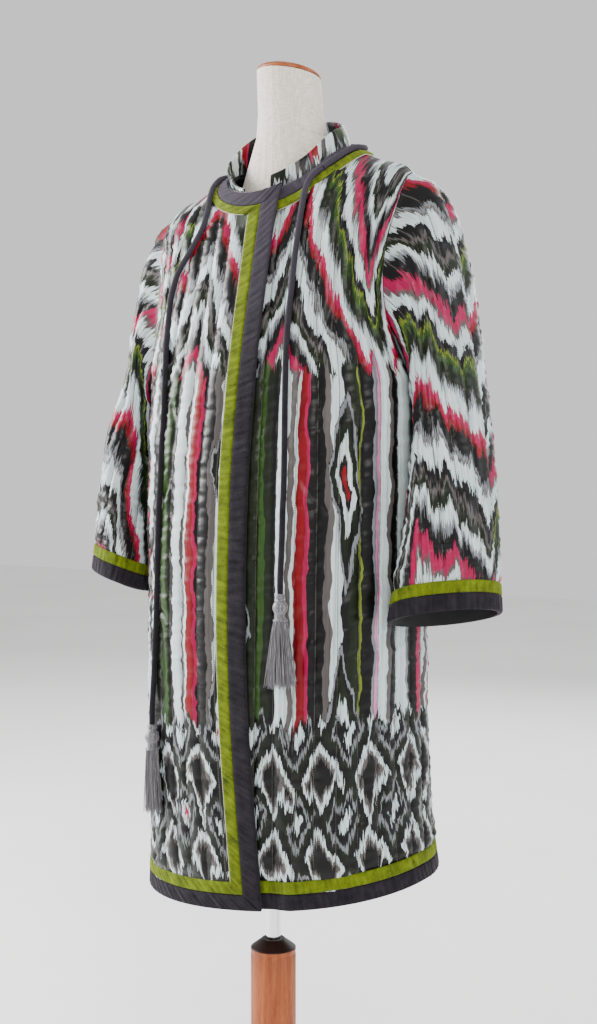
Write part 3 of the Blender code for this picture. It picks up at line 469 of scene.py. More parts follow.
def line_length(line):
    """Running length along a line of points."""
    return np.concatenate([[0.0], np.cumsum(np.linalg.norm(np.diff(line, axis=0), axis=1))])


def resample(line, count):
    """Points at even distances along a line."""
    run = line_length(line)
    stops = np.linspace(0, run[-1], count)
    return np.stack([np.interp(stops, run, line[:, k]) for k in range(3)], axis=-1)


def armhole_x(step):
    """The armhole edge's x, at a step from the underarm (0) to the shoulder (1)."""
    row = section_at(UNDERARM + step * (SHOULDER - UNDERARM))
    bite = ARMHOLE_BITE * math.sin(math.pi * step) ** ARMHOLE_SCOOP if step < 1 else 0.0
    return row.half_width * math.sin(math.radians(90 - bite)) ** (2 / row.power)


def highest_level(width_share):
    """The level of the shoulder seam or neckline that each column reaches."""
    top_levels = np.linspace(SHOULDER, NECKLINE, DENSE)
    top_widths = section_at(top_levels).half_width
    return np.interp(-np.abs(width_share) * top_widths[0], -top_widths, top_levels)


def half_grid(start_angle, shares, behind):
    """Levels and angles of half a panel, from its first edge to the side seam.

    Rows go from the hem to the underarm, then on to the neckline and shoulder;
    the last column is the side seam and then the armhole.
    """
    seam_levels = np.linspace(0, UNDERARM, DENSE)
    run = line_length(body_point(seam_levels, 90.0))
    levels = []
    angles = []
    for level in np.interp(np.linspace(0, run[-1], round(run[-1] / ROW_STEP)), run, seam_levels):
        dense_angle = np.linspace(start_angle(level), 90.0, DENSE)
        girth = line_length(body_point(level, dense_angle))
        angles.append(np.interp(shares * girth[-1], girth, dense_angle))
        levels.append(np.full(len(shares), level))
    width_share = signed_power(np.sin(np.radians(angles[-1])), 2 / section_at(UNDERARM).power)
    highest = highest_level(width_share)
    rise = np.array([body_point(UNDERARM + step * (highest - UNDERARM), angles[-1])
                     for step in np.linspace(0, 1, RISE_POINTS)])
    longest = max(line_length(rise[:, k])[-1] for k in range(0, rise.shape[1], RISE_STRIDE))
    for step in np.linspace(0, 1, round(longest / ROW_STEP))[1:] ** LOW_ROWS_POWER:
        level = UNDERARM + step * (highest - UNDERARM)
        angle = angle_at_x(level, width_share * armhole_x(step))
        levels.append(level)
        angles.append(180.0 - angle if behind else angle)
    return np.array(levels), np.array(angles)


def mirrored(grid, levels):
    """The wearer's right side of a grid made for the left, with the hem's tilt kept."""
    turned = grid.copy()
    turned[..., 2] -= 2 * section_at(levels).slant * grid[..., 0]
    turned[..., 0] *= -1
    return turned


def lap_inset(x):
    """How far the left front lies under the right one."""
    return LAP_INSET * smooth_step((LAP_FREE_X - x) / (LAP_FREE_X - LAP_FULL_X))


def coat_line(level, angle):
    """Points of the coat and their outward normals."""
    level, angle = np.broadcast_arrays(np.asarray(level, float), np.asarray(angle, float))
    along = body_point(level, angle + SLOPE_STEP) - body_point(level, angle - SLOPE_STEP)
    up = body_point(level + SLOPE_STEP, angle) - body_point(level - SLOPE_STEP, angle)
    return body_point(level, angle), unit(np.cross(along, up))


def on_left_front(here, normal, angle):
    """Move the points of the left front in, where the right front covers them."""
    left_front = (angle < LEFT_FRONT_FROM)[..., None]
    return np.where(left_front, here - lap_inset(here[..., :1]) * normal, here)


def level_from(end_level, angle, distance):
    """The level at a distance from the hem (end 0) or the neckline, along the cloth."""
    levels = np.linspace(end_level, abs(end_level - BAND_REACH_LEVELS), DENSE)
    angle, distance = np.broadcast_arrays(np.asarray(angle, float), np.asarray(distance, float))
    found = np.empty(angle.shape)
    for place in np.ndindex(angle.shape):
        run = line_length(body_point(levels, angle[place]))
        found[place] = np.interp(distance[place], run, levels)
    return found


def grid_normals(grid, wraps=False):
    """Unit normals of a grid of points."""
    if wraps:
        along = np.roll(grid, -1, axis=1) - np.roll(grid, 1, axis=1)
    else:
        along = np.gradient(grid, axis=1)
    return unit(np.cross(along, np.gradient(grid, axis=0)))


def waves(along, rows, lengths, seed):
    """Uneven waves along a line, another set for each row number; about -1 to 1."""
    random = np.random.default_rng(seed)
    phases = random.uniform(0, 2 * math.pi, (WAVE_ROWS, len(lengths)))
    total = np.zeros(np.broadcast(along, rows).shape)
    for number, length in enumerate(lengths):
        total = total + np.sin(2 * math.pi * along / length + phases[rows % WAVE_ROWS, number])
    return total / math.sqrt(len(lengths) * 2)


def quilting(channel, height, seed):
    """Height of padded channels over the cloth, with cross puckers at the stitch lines."""
    channel, height = np.broadcast_arrays(channel, height)
    line = np.floor(channel + HAIR).astype(int)
    part = np.clip(channel - line, 0.0, 1.0)
    puff = np.sin(np.pi * part) ** PUFF_ROUND
    swell = 1 + SWELL_SHARE * waves(height, line, SWELL_LENGTHS, seed)
    puckers = (waves(height, line, PUCKER_LENGTHS, seed + 1) * (1 - part) ** PUCKER_FADE
               + waves(height, line + 1, PUCKER_LENGTHS, seed + 1) * part ** PUCKER_FADE)
    return PUFF_RISE * puff * swell + PUCKER_DEEP * puckers * np.minimum(1.0, PUCKER_ONSET * puff)


def zip_faces(first, first_shares, second, second_shares):
    """Triangles between two lines of vertices with different counts."""
    faces = []
    i = 0
    j = 0
    while i < len(first) - 1 or j < len(second) - 1:
        take_first = j == len(second) - 1 or (
            i < len(first) - 1 and first_shares[i + 1] <= second_shares[j + 1])
        if take_first:
            faces.append((first[i], first[i + 1], second[j]))
            i += 1
        else:
            faces.append((first[i], second[j + 1], second[j]))
            j += 1
    return faces


def thinned(count, stride):
    """Every stride-th index of a line, with its last index."""
    kept = list(range(0, count, stride))
    if kept[-1] != count - 1:
        kept.append(count - 1)
    return kept


def quads(number):
    """The four-cornered faces of a grid of vertex numbers."""
    corners = (number[:-1, :-1], number[:-1, 1:], number[1:, 1:], number[1:, :-1])
    return np.stack(corners, axis=-1).reshape(-1, 4)


def ring_faces(first, rings, sides):
    """Faces of a closed tube whose rings of vertices follow one another."""
    number = closed(first + np.arange(rings * sides).reshape(rings, sides))
    return quads(number).tolist() + [number[0, -2::-1].tolist(), number[-1, :-1].tolist()]


def rings_along(line, radii, one, two, sides):
    """Rings of points round a line, in the plane of two directions at each of its points."""
    turn = 2 * math.pi * np.arange(sides)[:, None] / sides
    reach = np.broadcast_to(radii, len(line))[:, None, None]
    return line[:, None] + reach * (np.cos(turn) * one[:, None] + np.sin(turn) * two[:, None])


def smoothed(mesh, sharp=None, merge=False):
    """Turn a mesh's faces outward, shade it smooth and put it in the scene."""
    work = bmesh.new()
    work.from_mesh(mesh)
    if merge:
        bmesh.ops.remove_doubles(work, verts=work.verts, dist=HAIR)
    bmesh.ops.recalc_face_normals(work, faces=work.faces)
    work.to_mesh(mesh)
    work.free()
    mesh.shade_smooth()
    if sharp:
        mesh.set_sharp_from_angle(angle=math.radians(sharp))
    return linked(mesh.name, mesh)


def shell(name, outer, inner_full, uv, quilt, covers, stride=4, wraps=False):
    """A closed thin wall from a fine outer grid and a plainer inner one.

    uv holds each point's place on the flat cloth in metres, and quilt its channel
    and height.  A grid that wraps repeats its first column as its last.
    """
    rows, columns = outer.shape[:2]
    kept_rows = thinned(rows, stride)
    kept_columns = thinned(columns, stride)
    picked = np.ix_(kept_rows, kept_columns)
    points, flat_uv, flat_quilt = (
        np.concatenate([fine.reshape(-1, fine.shape[-1]), plain[picked].reshape(-1, fine.shape[-1])])
        for fine, plain in ((outer, inner_full), (uv, uv), (quilt, quilt)))
    number = np.arange(rows * columns).reshape(rows, columns)
    within = rows * columns + np.arange(len(kept_rows) * len(kept_columns)).reshape(len(kept_rows), -1)
    faces = quads(number).tolist()
    outer_count = len(faces)
    faces += quads(within)[:, [0, 3, 2, 1]].tolist()
    rims = [(number[0], within[0], kept_columns), (number[-1], within[-1], kept_columns)]
    if not wraps:
        rims += [(number[:, 0], within[:, 0], kept_rows), (number[:, -1], within[:, -1], kept_rows)]
    for fine, plain, kept in rims:
        faces += zip_faces(fine.tolist(), range(len(fine)), plain.tolist(), kept)
    mesh = bpy.data.meshes.new(name)
    mesh.from_pydata(points.tolist(), [], faces)
    corner = np.empty(len(mesh.loops), dtype=np.int32)
    mesh.loops.foreach_get("vertex_index", corner)
    for layer_name, values in (("cloth", flat_uv), ("quilt", flat_quilt)):
        layer = mesh.uv_layers.new(name=layer_name)
        layer.data.foreach_set("uv", values[corner].astype(np.float32).ravel())
    for cover in covers:
        mesh.materials.append(cover)
    slots = np.zeros(len(faces), dtype=np.int32)
    slots[outer_count:] = len(covers) - 1
    mesh.polygons.foreach_set("material_index", slots)
    return smoothed(mesh, sharp=SHARP_EDGE, merge=True)


def linked(name, data):
    """A new object in the scene, riding on the one body."""
    item = bpy.data.objects.new(name, data)
    bpy.context.scene.collection.objects.link(item)
    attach(item, "root")
    return item


def pull_edges(grid):
    """Draw the grid's outline in by a hair, so neighbours keep a seam's gap."""
    pulled = grid.copy()
    for edge, inner in ((0, 1), (-1, -2)):
        pulled[:, edge] += EDGE_PULL * unit(grid[:, inner] - grid[:, edge])
        pulled[edge] += EDGE_PULL * unit(grid[inner] - grid[edge])
    return pulled


def panel_normals(base, levels, angles):
    """A panel's normals, shared with its neighbour at the side and shoulder seams."""
    normals = grid_normals(base)
    whole = coat_line(levels, angles)[1]
    normals[-1] = whole[-1]
    seam = np.isclose(angles, 90.0)
    normals[seam] = whole[seam]
    return normals


def column_heights(base):
    """Running length up each column, from the hem."""
    steps = np.linalg.norm(np.diff(base, axis=0), axis=2)
    return np.concatenate([np.zeros((1, base.shape[1])), np.cumsum(steps, axis=0)])


# Soft folds: x and z of both ends, half width, and how far they rise or sink
FRONT_FOLDS = (
    (0.190, 1.060, 0.085, 1.000, 0.016, 0.0030),
    (0.195, 1.030, 0.120, 0.940, 0.014, -0.0022),
    (0.185, 1.120, 0.120, 1.180, 0.016, 0.0026),
    (0.150, 0.780, 0.145, 0.430, 0.022, 0.0034),
    (0.098, 0.700, 0.104, 0.420, 0.018, -0.0028),
    (0.186, 0.640, 0.190, 0.430, 0.018, -0.0030),
    (0.060, 1.240, 0.115, 1.180, 0.018, 0.0018),
)
BACK_FOLDS = (
    (0.175, 1.060, 0.080, 1.010, 0.016, 0.0028),
    (0.180, 1.130, 0.110, 1.200, 0.016, 0.0024),
    (0.120, 0.760, 0.128, 0.440, 0.022, 0.0034),
    (0.060, 0.800, 0.064, 0.440, 0.020, -0.0030),
    (0.000, 0.740, 0.006, 0.440, 0.022, 0.0030),
    (-0.066, 0.780, -0.060, 0.440, 0.020, -0.0026),
    (-0.130, 0.720, -0.136, 0.440, 0.022, 0.0034),
    (-0.176, 1.080, -0.070, 1.020, 0.016, 0.0028),
    (-0.178, 1.140, -0.118, 1.200, 0.016, 0.0024),
)
FOLD_TAIL = 0.2
FOLD_SWELL = 0.8


def folds(place, table):
    """Height of the soft troughs and ridges at each place, which has two numbers."""
    total = np.zeros(place.shape[:-1])
    for start_one, start_two, end_one, end_two, half_width, rise in table:
        start = np.array([start_one, start_two])
        way = np.array([end_one, end_two]) - start
        share = np.clip((place - start) @ way / (way @ way), -FOLD_TAIL, 1 + FOLD_TAIL)
        away = np.linalg.norm(place - start - share[..., None] * way, axis=-1)
        length = np.clip((share + FOLD_TAIL) / (1 + 2 * FOLD_TAIL), 0, 1)
        total += rise * np.sin(np.pi * length) ** FOLD_SWELL * np.exp(-(away / half_width) ** 2)
    return total


# Arcs of stitching across the fronts: centre x and z, radius, first and last angle
FRONT_ARCS = (
    (0.030, 0.900, 0.135, -64, 28),
    (0.215, 1.020, 0.120, 150, 232),
    (0.020, 1.200, 0.110, -52, 20),
    (0.240, 0.720, 0.130, 118, 214),
)
ARC_HALF_WIDTH = 0.0042
ARC_FADE = 4
ARC_SHARE = 0.75


def arc_grooves(base):
    """Share of the way down each arc of stitching's groove, 0 to 1."""
    deepest = np.zeros(base.shape[:-1])
    for centre_x, centre_z, radius, first, last in FRONT_ARCS:
        across = base[..., 0] - centre_x
        up = base[..., 2] - centre_z
        angle = np.degrees(np.arctan2(up, across)) % 360
        middle = ((first + last) / 2) % 360
        off = np.abs((angle - middle + 180) % 360 - 180)
        inside = smooth_step(((last - first) / 2 - off) / ARC_FADE)
        away = np.abs(np.hypot(across, up) - radius)
        deepest = np.maximum(deepest, inside * np.exp(-(away / ARC_HALF_WIDTH) ** 2))
    return deepest


def panel_lift(channel, height, seam_level, beside, seed):
    """Height of a panel's quilting, plain beside the velvet and pressed at its side seam."""
    from_top = height[-1] - height
    fade = smooth_step((height - HEM_GREY - HEM_LIME + BAND_TUCK) / HEM_FADE)
    fade *= smooth_step((from_top - NECK_PLAIN) / NECK_FADE)
    pressed = smooth_step((seam_level - PRESSED_FROM) / PRESSED_LEVELS)
    pressed = pressed * smooth_step(PRESSED_CHANNELS - beside)
    return quilting(channel, height, seed) * fade * (1 - PRESSED_SHARE * pressed)


def neck_fade(height):
    """Fade of a panel's folds toward the plain cloth round the neck."""
    return smooth_step((height[-1] - height - NECK_PLAIN) / CREASE_FADE)


def cloth_sides(base, lift, crease, normals):
    """The printed side and the lining side of quilted cloth."""
    outer = base + (lift + np.maximum(crease, -CREASE_CUT))[..., None] * normals
    inner = base + (np.minimum(crease, 0.0) - WALL)[..., None] * normals
    return outer, inner


def quilt_covers():
    """The printed cloth and its lining."""
    return material("cotton_sateen_print"), material("cotton_lining")


def print_rise(base, levels):
    """Height on the printed cloth, which hangs level round the coat."""
    return base[..., 2] - section_at(levels).slant * base[..., 0]


def front_panel(name, side):
    """A front: side +1 is the wearer's left, -1 the right, which lies on top."""
    count = FRONT_CHANNELS * POINTS_PER_CHANNEL
    plain = np.linspace(0, 1, PLAIN_COLUMNS + 1)[:-1]
    shares = np.concatenate([PLAIN_SHARE * plain, np.linspace(PLAIN_SHARE, 1, count + 1)])
    channel = np.concatenate([plain - 1, np.linspace(0, FRONT_CHANNELS, count + 1)])
    levels, angles = half_grid(lambda level: edge_angle(level, -lap_x(level)), shares, False)
    base = body_point(levels, angles)
    normals = panel_normals(base, levels, angles)
    height = column_heights(base)
    lift = panel_lift(channel, height, levels[:, -1:], FRONT_CHANNELS - channel, FRONT_SEEDS[side])
    lift *= 1 - ARC_SHARE * arc_grooves(base)
    lift[:, :PLAIN_COLUMNS] = 0.0
    edge_keep = smooth_step((shares - PLAIN_SHARE) / EDGE_KEEP) * smooth_step((1 - shares) / SEAM_KEEP)
    crease = folds(base[..., [0, 2]], FRONT_FOLDS) * edge_keep * neck_fade(height)
    if side > 0:
        base = base - lap_inset(base[..., :1]) * normals
    base = pull_edges(base)
    outer, inner = cloth_sides(base, lift, crease, normals)
    if side < 0:
        outer = mirrored(outer, levels)
        inner = mirrored(inner, levels)
    across = shares * line_length(base[WIDTH_ROW])[-1] * side + CUT_FRONT + CUT_FRONT_STEP * side
    return shell(name, outer, inner, paired(across, print_rise(base, levels)), paired(channel, height),
                 quilt_covers())


def back_panel():
    """The back, one piece from side seam to side seam."""
    count = BACK_CHANNELS * POINTS_PER_CHANNEL // 2
    levels, angles = half_grid(lambda level: 180.0, np.linspace(0, 1, count + 1), True)
    left = body_point(levels, angles)[:, ::-1]
    left_levels = levels[:, ::-1]
    left_normals = panel_normals(left, left_levels, angles[:, ::-1])
    right = mirrored(left, left_levels)[:, ::-1]
    right_normals = mirrored(left_normals, left_levels)[:, ::-1]
    base = np.concatenate([left, right[:, 1:]], axis=1)
    levels = np.concatenate([left_levels, left_levels[:, -2::-1]], axis=1)
    normals = np.concatenate([left_normals, right_normals[:, 1:]], axis=1)
    height = column_heights(base)
    channel = np.linspace(0, BACK_CHANNELS, 2 * count + 1)
    beside = np.minimum(channel, BACK_CHANNELS - channel)
    lift = panel_lift(channel, height, levels[:, :1], beside, BACK_SEED)
    crease = folds(base[..., [0, 2]], BACK_FOLDS) * neck_fade(height)
    crease *= smooth_step(beside / PRESSED_CHANNELS)
    base = pull_edges(base)
    outer, inner = cloth_sides(base, lift, crease, normals)
    across = channel / BACK_CHANNELS * line_length(base[WIDTH_ROW])[-1] + CUT_BACK
    return shell("coat_back", outer, inner, paired(across, print_rise(base, levels)),
                 paired(channel, height), quilt_covers())


def armhole_ring(side):
    """An armhole's outline from the shoulder, down the front and up the back."""
    front = []
    back = []
    for step in np.linspace(1, 0, ARMHOLE_POINTS):
        level = UNDERARM + step * (SHOULDER - UNDERARM)
        angle = edge_angle(level, armhole_x(step))
        for line, here in ((front, angle), (back, 180.0 - angle)):
            point = body_point(level, here)
            if side < 0:
                point[2] -= 2 * section_at(level).slant * point[0]
            line.append(point)
    return np.array(front), np.array(back)[::-1]


def even_ring(front, back, count):
    """A ring of even points from its front half and its back half."""
    half = count // 2 + 1
    return np.concatenate([resample(front, half), resample(back, half)[1:-1]])


def sleeve_ring(level, count, side):
    """An even ring round the sleeve: shoulder line, front, underarm line, back."""
    row = cubic_rows(SLEEVE_SECTIONS, level)
    outer = row[0:3]
    inner = row[3:6]
    half_depth, front_rise = row[6:]
    toward_front = np.array([0.0, -half_depth, front_rise])
    turn = np.radians(np.linspace(0, 360, 2 * RING_POINTS + 1))[:, None]
    dense = (outer + inner) / 2 + (outer - inner) / 2 * np.cos(turn) + toward_front * np.sin(turn)
    dense[:, 1] += COAT_Y
    if side < 0:
        share = level / (len(SLEEVE_SECTIONS) - 1)
        outward = (dense[:, 0] - inner[0]) / (outer[0] - inner[0])
        dense[:, 0] -= RIGHT_DRAW_IN * math.sin(math.pi * share) * outward
        dense[:, 2] += RIGHT_CUFF_LIFT * share ** 2
        dense[:, 2] -= RIGHT_SHOULDER_DROP * (1 - smooth_step(level / RIGHT_DROP_LEVELS))
    return even_ring(dense[:RING_POINTS + 1], dense[RING_POINTS:], count)


def sleeve_base(levels, count, side):
    """Rings of the sleeve's surface; the first one follows the armhole."""
    hole = even_ring(*armhole_ring(side), count)
    inward = hole.mean(axis=0) - hole
    inward[:, 0] = 0.0
    start = hole + SLEEVE_START_IN * unit(inward) + np.array([SLEEVE_START_OUT, 0.0, 0.0])
    off = start - sleeve_ring(0.0, count, side)
    return np.array([sleeve_ring(level, count, side) + (1 - smooth_step(level / SLEEVE_BLEND)) * off
                     for level in levels])


def rings_at(dense, run, stops):
    """Rings at given stops of a tube, measured along each of its lines."""
    rings = np.empty((len(stops), *dense.shape[1:]))
    for column, axis in np.ndindex(dense.shape[1:]):
        rings[:, column, axis] = np.interp(stops, run[:, column], dense[:, column, axis])
    return rings


def closed(grid):
    """A ring grid with its first column repeated as its last."""
    return np.concatenate([grid, grid[:, :1]], axis=1)


# Sleeve folds: share round the sleeve and down it at both ends, half width, rise
SLEEVE_FOLDS = (
    (0.46, 0.10, 0.30, 0.26, 0.030, 0.0040),
    (0.50, 0.22, 0.36, 0.40, 0.028, -0.0032),
    (0.48, 0.40, 0.28, 0.50, 0.026, 0.0036),
    (0.52, 0.52, 0.36, 0.64, 0.026, -0.0030),
    (0.58, 0.14, 0.70, 0.32, 0.030, 0.0036),
    (0.56, 0.44, 0.74, 0.56, 0.028, 0.0030),
    (0.16, 0.30, 0.22, 0.72, 0.030, 0.0020),
    (0.86, 0.26, 0.80, 0.70, 0.030, 0.0022),
)


def sleeve(name, side):
    """A sleeve with quilted channels down its length and a few soft folds."""
    count = SLEEVE_CHANNELS * POINTS_PER_CHANNEL
    dense = sleeve_base(np.linspace(0, len(SLEEVE_SECTIONS) - 1, SLEEVE_STEPS), count, side)
    run = column_heights(dense)
    lengths = run[-1]
    rows = round(lengths.max() / ROW_STEP)
    share_down = np.linspace(0, 1, rows)
    base = rings_at(dense, run / lengths, share_down)
    normals = grid_normals(base, wraps=True)
    from_cuff = (1 - share_down)[:, None] * lengths[None, :]
    down = share_down[:, None] * lengths[None, :]
    lift = quilting(np.arange(count) / POINTS_PER_CHANNEL, from_cuff, SLEEVE_SEEDS[side])
    lift *= smooth_step((down - SLEEVE_HEAD_PLAIN) / SLEEVE_HEAD_FADE)
    lift *= smooth_step((from_cuff - CUFF_GREY - CUFF_LIME + BAND_TUCK) / HEM_FADE)
    crease = folds(paired(np.arange(count) / count, share_down[:, None]), SLEEVE_FOLDS)
    crease *= smooth_step((down - SLEEVE_HEAD_SMOOTH) / CREASE_FADE)
    crease *= smooth_step((from_cuff - CUFF_SMOOTH) / CREASE_FADE)
    outer, inner = cloth_sides(base, lift, crease, normals)
    outer[..., 0] *= side
    inner[..., 0] *= side
    girth = line_length(closed(base)[rows // 2])[-1]
    around = np.arange(count + 1) / count
    uv = paired(around * girth + CUT_SLEEVE + CUT_SLEEVE_STEP * side, CUT_SLEEVE_TOP - closed(down))
    quilt = paired(around * SLEEVE_CHANNELS, closed(from_cuff))
    return shell(name, closed(outer), closed(inner), uv, quilt, quilt_covers(), wraps=True)


# Velvet

BAND_PROFILE = ((0.0, 0.10), (0.05, 0.72), (0.14, 1.0), (0.32, 0.93), (0.50, 0.96),
                (0.68, 0.93), (0.86, 1.0), (0.95, 0.72), (1.0, 0.10))
BAND_SHARES, BAND_HEIGHTS = np.array(BAND_PROFILE).T
BAND_MIDDLE = len(BAND_PROFILE) // 2
BAND_PUCKER = 0.00125
BAND_PUCKER_TOP = 0.0004
BAND_PUCKER_LENGTHS = (0.0068, 0.0095, 0.0139)
BAND_STEP = 0.0028
FRONT_BAND_LENGTH = 0.99
NECK_ROLL = 0.0014
# Heights over which the velvet's colour is painted paler up to the neck, as painted light
CHEST_TO_NECK = (1.08, 1.36)
CUFF_POINTS = 180
CUFF_FROM_LEVEL = 4.0
CUFF_STEPS = 41
VELVET_WIDTH = 0.02
PIPING_RADIUS = 0.0008
PIPING_SIDES = 6
PIPED_BANDS = {"front_lime_velvet": "front_piping", "neck_lime_velvet": "neck_piping"}


def piping(name, line, normals):
    """A fine pale cord stitched along a velvet band's free edge."""
    across = unit(np.cross(np.gradient(line, axis=0), normals))
    rings = rings_along(line, PIPING_RADIUS, across, normals, PIPING_SIDES)
    mesh = bpy.data.meshes.new(name)
    mesh.from_pydata(rings.reshape(-1, 3).tolist(), [], ring_faces(0, len(line), PIPING_SIDES))
    mesh.materials.append(material("cotton_piping_pale"))
    return smoothed(mesh)


def velvet_shell(name, rows, normals, along, cover, lift, seed, wraps=False):
    """A velvet band from rows of points that run along it; shares across as in the profile."""
    wave = waves(along[None, :], np.zeros((len(rows), 1), dtype=int), BAND_PUCKER_LENGTHS, seed)
    ripple = BAND_PUCKER * wave * np.sin(np.pi * BAND_SHARES)[:, None] ** 0.5
    rise = lift + BAND_THICK * BAND_HEIGHTS[:, None] + np.minimum(ripple, BAND_PUCKER_TOP)
    outer = rows + rise[..., None] * normals
    inner = rows + BAND_FOOT * normals
    uv = paired(along[None, :], BAND_SHARES[:, None] * VELVET_WIDTH)
    if name in PIPED_BANDS:
        piping(PIPED_BANDS[name], rows[-1] + PIPING_RADIUS * normals[-1], normals[-1])
    return shell(name, outer, inner, uv, uv, (cover,), stride=2, wraps=wraps)


def neck_widths(angle):
    """The grey band's width, the tie's room and the lime band's width at an angle."""
    table = np.array(NECK_BAND_POINTS)
    return [np.interp(-np.asarray(angle), -table[:, 0], table[:, k]) for k in (1, 2, 3)]


def neck_grey_far(angle):
    """The neckline's grey band ends at this distance from the neckline."""
    return NECK_BAND_START + neck_widths(angle)[0]


def neck_lime_near(angle):
    """The neckline's lime band starts past the tie's room."""
    return neck_grey_far(angle) + neck_widths(angle)[1]


def neck_lime_far(angle):
    """The neckline's lime band ends at this distance from the neckline."""
    return neck_lime_near(angle) + neck_widths(angle)[2]


def steady(distance):
    """The same distance at every angle."""
    return lambda angle: np.full(np.shape(angle), distance)


def round_band(name, end_level, near, far, mitre, end_x, cover, seed):
    """A band along the hem or the neckline, all round the coat, mitred at its start.

    near and far give its distances from that edge at an angle; mitre gives the x
    of its first end at each of them.
    """
    start_angles = [edge_angle(end_level, mitre[0] + (mitre[1] - mitre[0]) * share) for share in BAND_SHARES]
    dense = np.linspace(start_angles[0], edge_angle(end_level, end_x) - 360.0, 4 * DENSE)
    run = line_length(body_point(end_level, dense))
    count = round(run[-1] / BAND_STEP)
    even = np.linspace(0, run[-1], count)
    middle = np.interp(even, run, dense)
    near_level = level_from(end_level, middle, near(middle))
    far_level = level_from(end_level, middle, far(middle))
    rows = []
    normals = []
    for share, start in zip(BAND_SHARES, start_angles):
        begin = np.interp(-start, -dense, run)
        angles = np.interp(begin + (run[-1] - begin) * np.linspace(0, 1, count), run, dense)
        level = np.interp(-angles, -middle, near_level + (far_level - near_level) * share)
        here, normal = coat_line(level, angles)
        rows.append(on_left_front(here, normal, angles))
        normals.append(normal)
    lift = BAND_LIFT + (NECK_ROLL if end_level == NECKLINE else 0.0)
    return velvet_shell(name, np.array(rows), np.array(normals), even, cover, lift, seed)


def front_band(name, near, far, low, high, cover, seed):
    """A band down the right front's edge, mitred at both ends.

    low and high give the distances from hem and neckline at its near and far side.
    """
    rows = []
    normals = []
    for share in BAND_SHARES:
        first = float(level_from(0.0, 0.0, low[0] + (low[1] - low[0]) * share))
        last = float(level_from(NECKLINE, 0.0, high[0] + (high[1] - high[0]) * share))
        levels = np.linspace(first, last, round(FRONT_BAND_LENGTH / BAND_STEP))
        run = line_length(body_point(levels, 0.0))
        levels = np.interp(np.linspace(0, run[-1], len(levels)), run, levels)
        here, normal = coat_line(levels, angle_at_x(levels, lap_x(levels) - near - (far - near) * share))
        rows.append(here)
        normals.append(normal)
    along = line_length(rows[BAND_MIDDLE])
    return velvet_shell(name, np.array(rows), np.array(normals), along, cover, BAND_LIFT, seed)


def cuff_band(name, side, start, end, cover, seed):
    """A velvet band round a cuff, between two distances from its edge."""
    levels = np.linspace(CUFF_FROM_LEVEL, len(SLEEVE_SECTIONS) - 1, CUFF_STEPS)
    dense = sleeve_base(levels, CUFF_POINTS, side)[::-1]
    rows = rings_at(dense, column_heights(dense), start + (end - start) * BAND_SHARES)
    normals = -grid_normals(rows, wraps=True)
    rows[..., 0] *= side
    normals[..., 0] *= side
    rows = closed(rows)
    along = line_length(rows[BAND_MIDDLE])
    return velvet_shell(name, rows, closed(normals), along, cover, CUFF_LIFT, seed, wraps=True)


COLLAR_STEP = 0.003
COLLAR_ROWS = 14
COLLAR_EASE = 15
COLLAR_BELLY = 0.0011
COLLAR_WAVE = 0.0007
COLLAR_WAVE_LENGTHS = (0.021, 0.034, 0.058)
COLLAR_WAVE_SEED = 9
COLLAR_ROLL = 0.45
COLLAR_CHANNEL = 0.030


def eased(values):
    """Running mean of the values along the collar."""
    padded = np.pad(values, COLLAR_EASE // 2, mode="edge")
    return np.convolve(padded, np.ones(COLLAR_EASE) / COLLAR_EASE, mode="valid")


def collar_wall():
    """The stand collar: printed cloth on both sides, its top edge rolled over."""
    start = edge_angle(NECKLINE, COLLAR_START_X)
    dense = np.linspace(start, edge_angle(NECKLINE, COLLAR_END_X) - 360.0, 4 * DENSE)
    run = line_length(body_point(NECKLINE, dense))
    count = round(run[-1] / COLLAR_STEP)
    angles = np.interp(np.linspace(0, run[-1], count), run, dense)
    table = np.array(COLLAR_POINTS)
    heights, leans = (eased(np.interp(-angles, -table[:, 0], table[:, k])) for k in (1, 2))
    here, normal = coat_line(NECKLINE, angles)
    here = on_left_front(here, normal, angles)
    outward = unit((here - np.array([0.0, COAT_Y, 0.0])) * (1.0, 1.0, 0.0))
    foot = here - COLLAR_IN * outward + np.array([0.0, 0.0, COLLAR_UP])
    distance = line_length(here)
    wave = COLLAR_WAVE * waves(distance, np.full(count, 3), COLLAR_WAVE_LENGTHS, COLLAR_WAVE_SEED)
    shares = np.linspace(0, 1, COLLAR_ROWS)
    rows = []
    for share in shares:
        belly = COLLAR_BELLY * math.sin(math.pi * share)
        rise = np.outer(heights * share, (0.0, 0.0, 1.0))
        rows.append(foot + rise + (leans * share + belly + wave * share)[:, None] * outward)
    outer = np.array(rows)
    inner = outer - WALL * outward
    outer[-1] -= COLLAR_ROLL * WALL * outward
    inner[-1] += COLLAR_ROLL * WALL * outward
    rise = shares[:, None] * heights + CUT_COLLAR_FOOT
    cloth = material("cotton_sateen_print")
    return shell("coat_collar", outer, inner, paired(distance + CUT_COLLAR, rise),
                 paired(distance / COLLAR_CHANNEL, rise), (cloth,), stride=2)


# Materials

def linear(hex_value):
    """An sRGB hex value as linear red, green, blue and alpha."""
    parts = [int(hex_value[k:k + 2], 16) / 255 for k in (1, 3, 5)]
    return tuple(c / 12.92 if c <= 0.04045 else ((c + 0.055) / 1.055) ** 2.4 for c in parts) + (1.0,)


def give(tree, node, inputs):
    """Give each of a node's inputs a value or another node's output."""
    for key, value in dict(inputs).items():
        if isinstance(value, bpy.types.NodeSocket):
            tree.links.new(value, node.inputs[key])
        else:
            node.inputs[key].default_value = value


def add(tree, kind, inputs=(), **settings):
    """Add a node with its settings and its inputs."""
    made = tree.nodes.new(kind)
    for name, value in settings.items():
        setattr(made, name, value)
    give(tree, made, inputs)
    return made


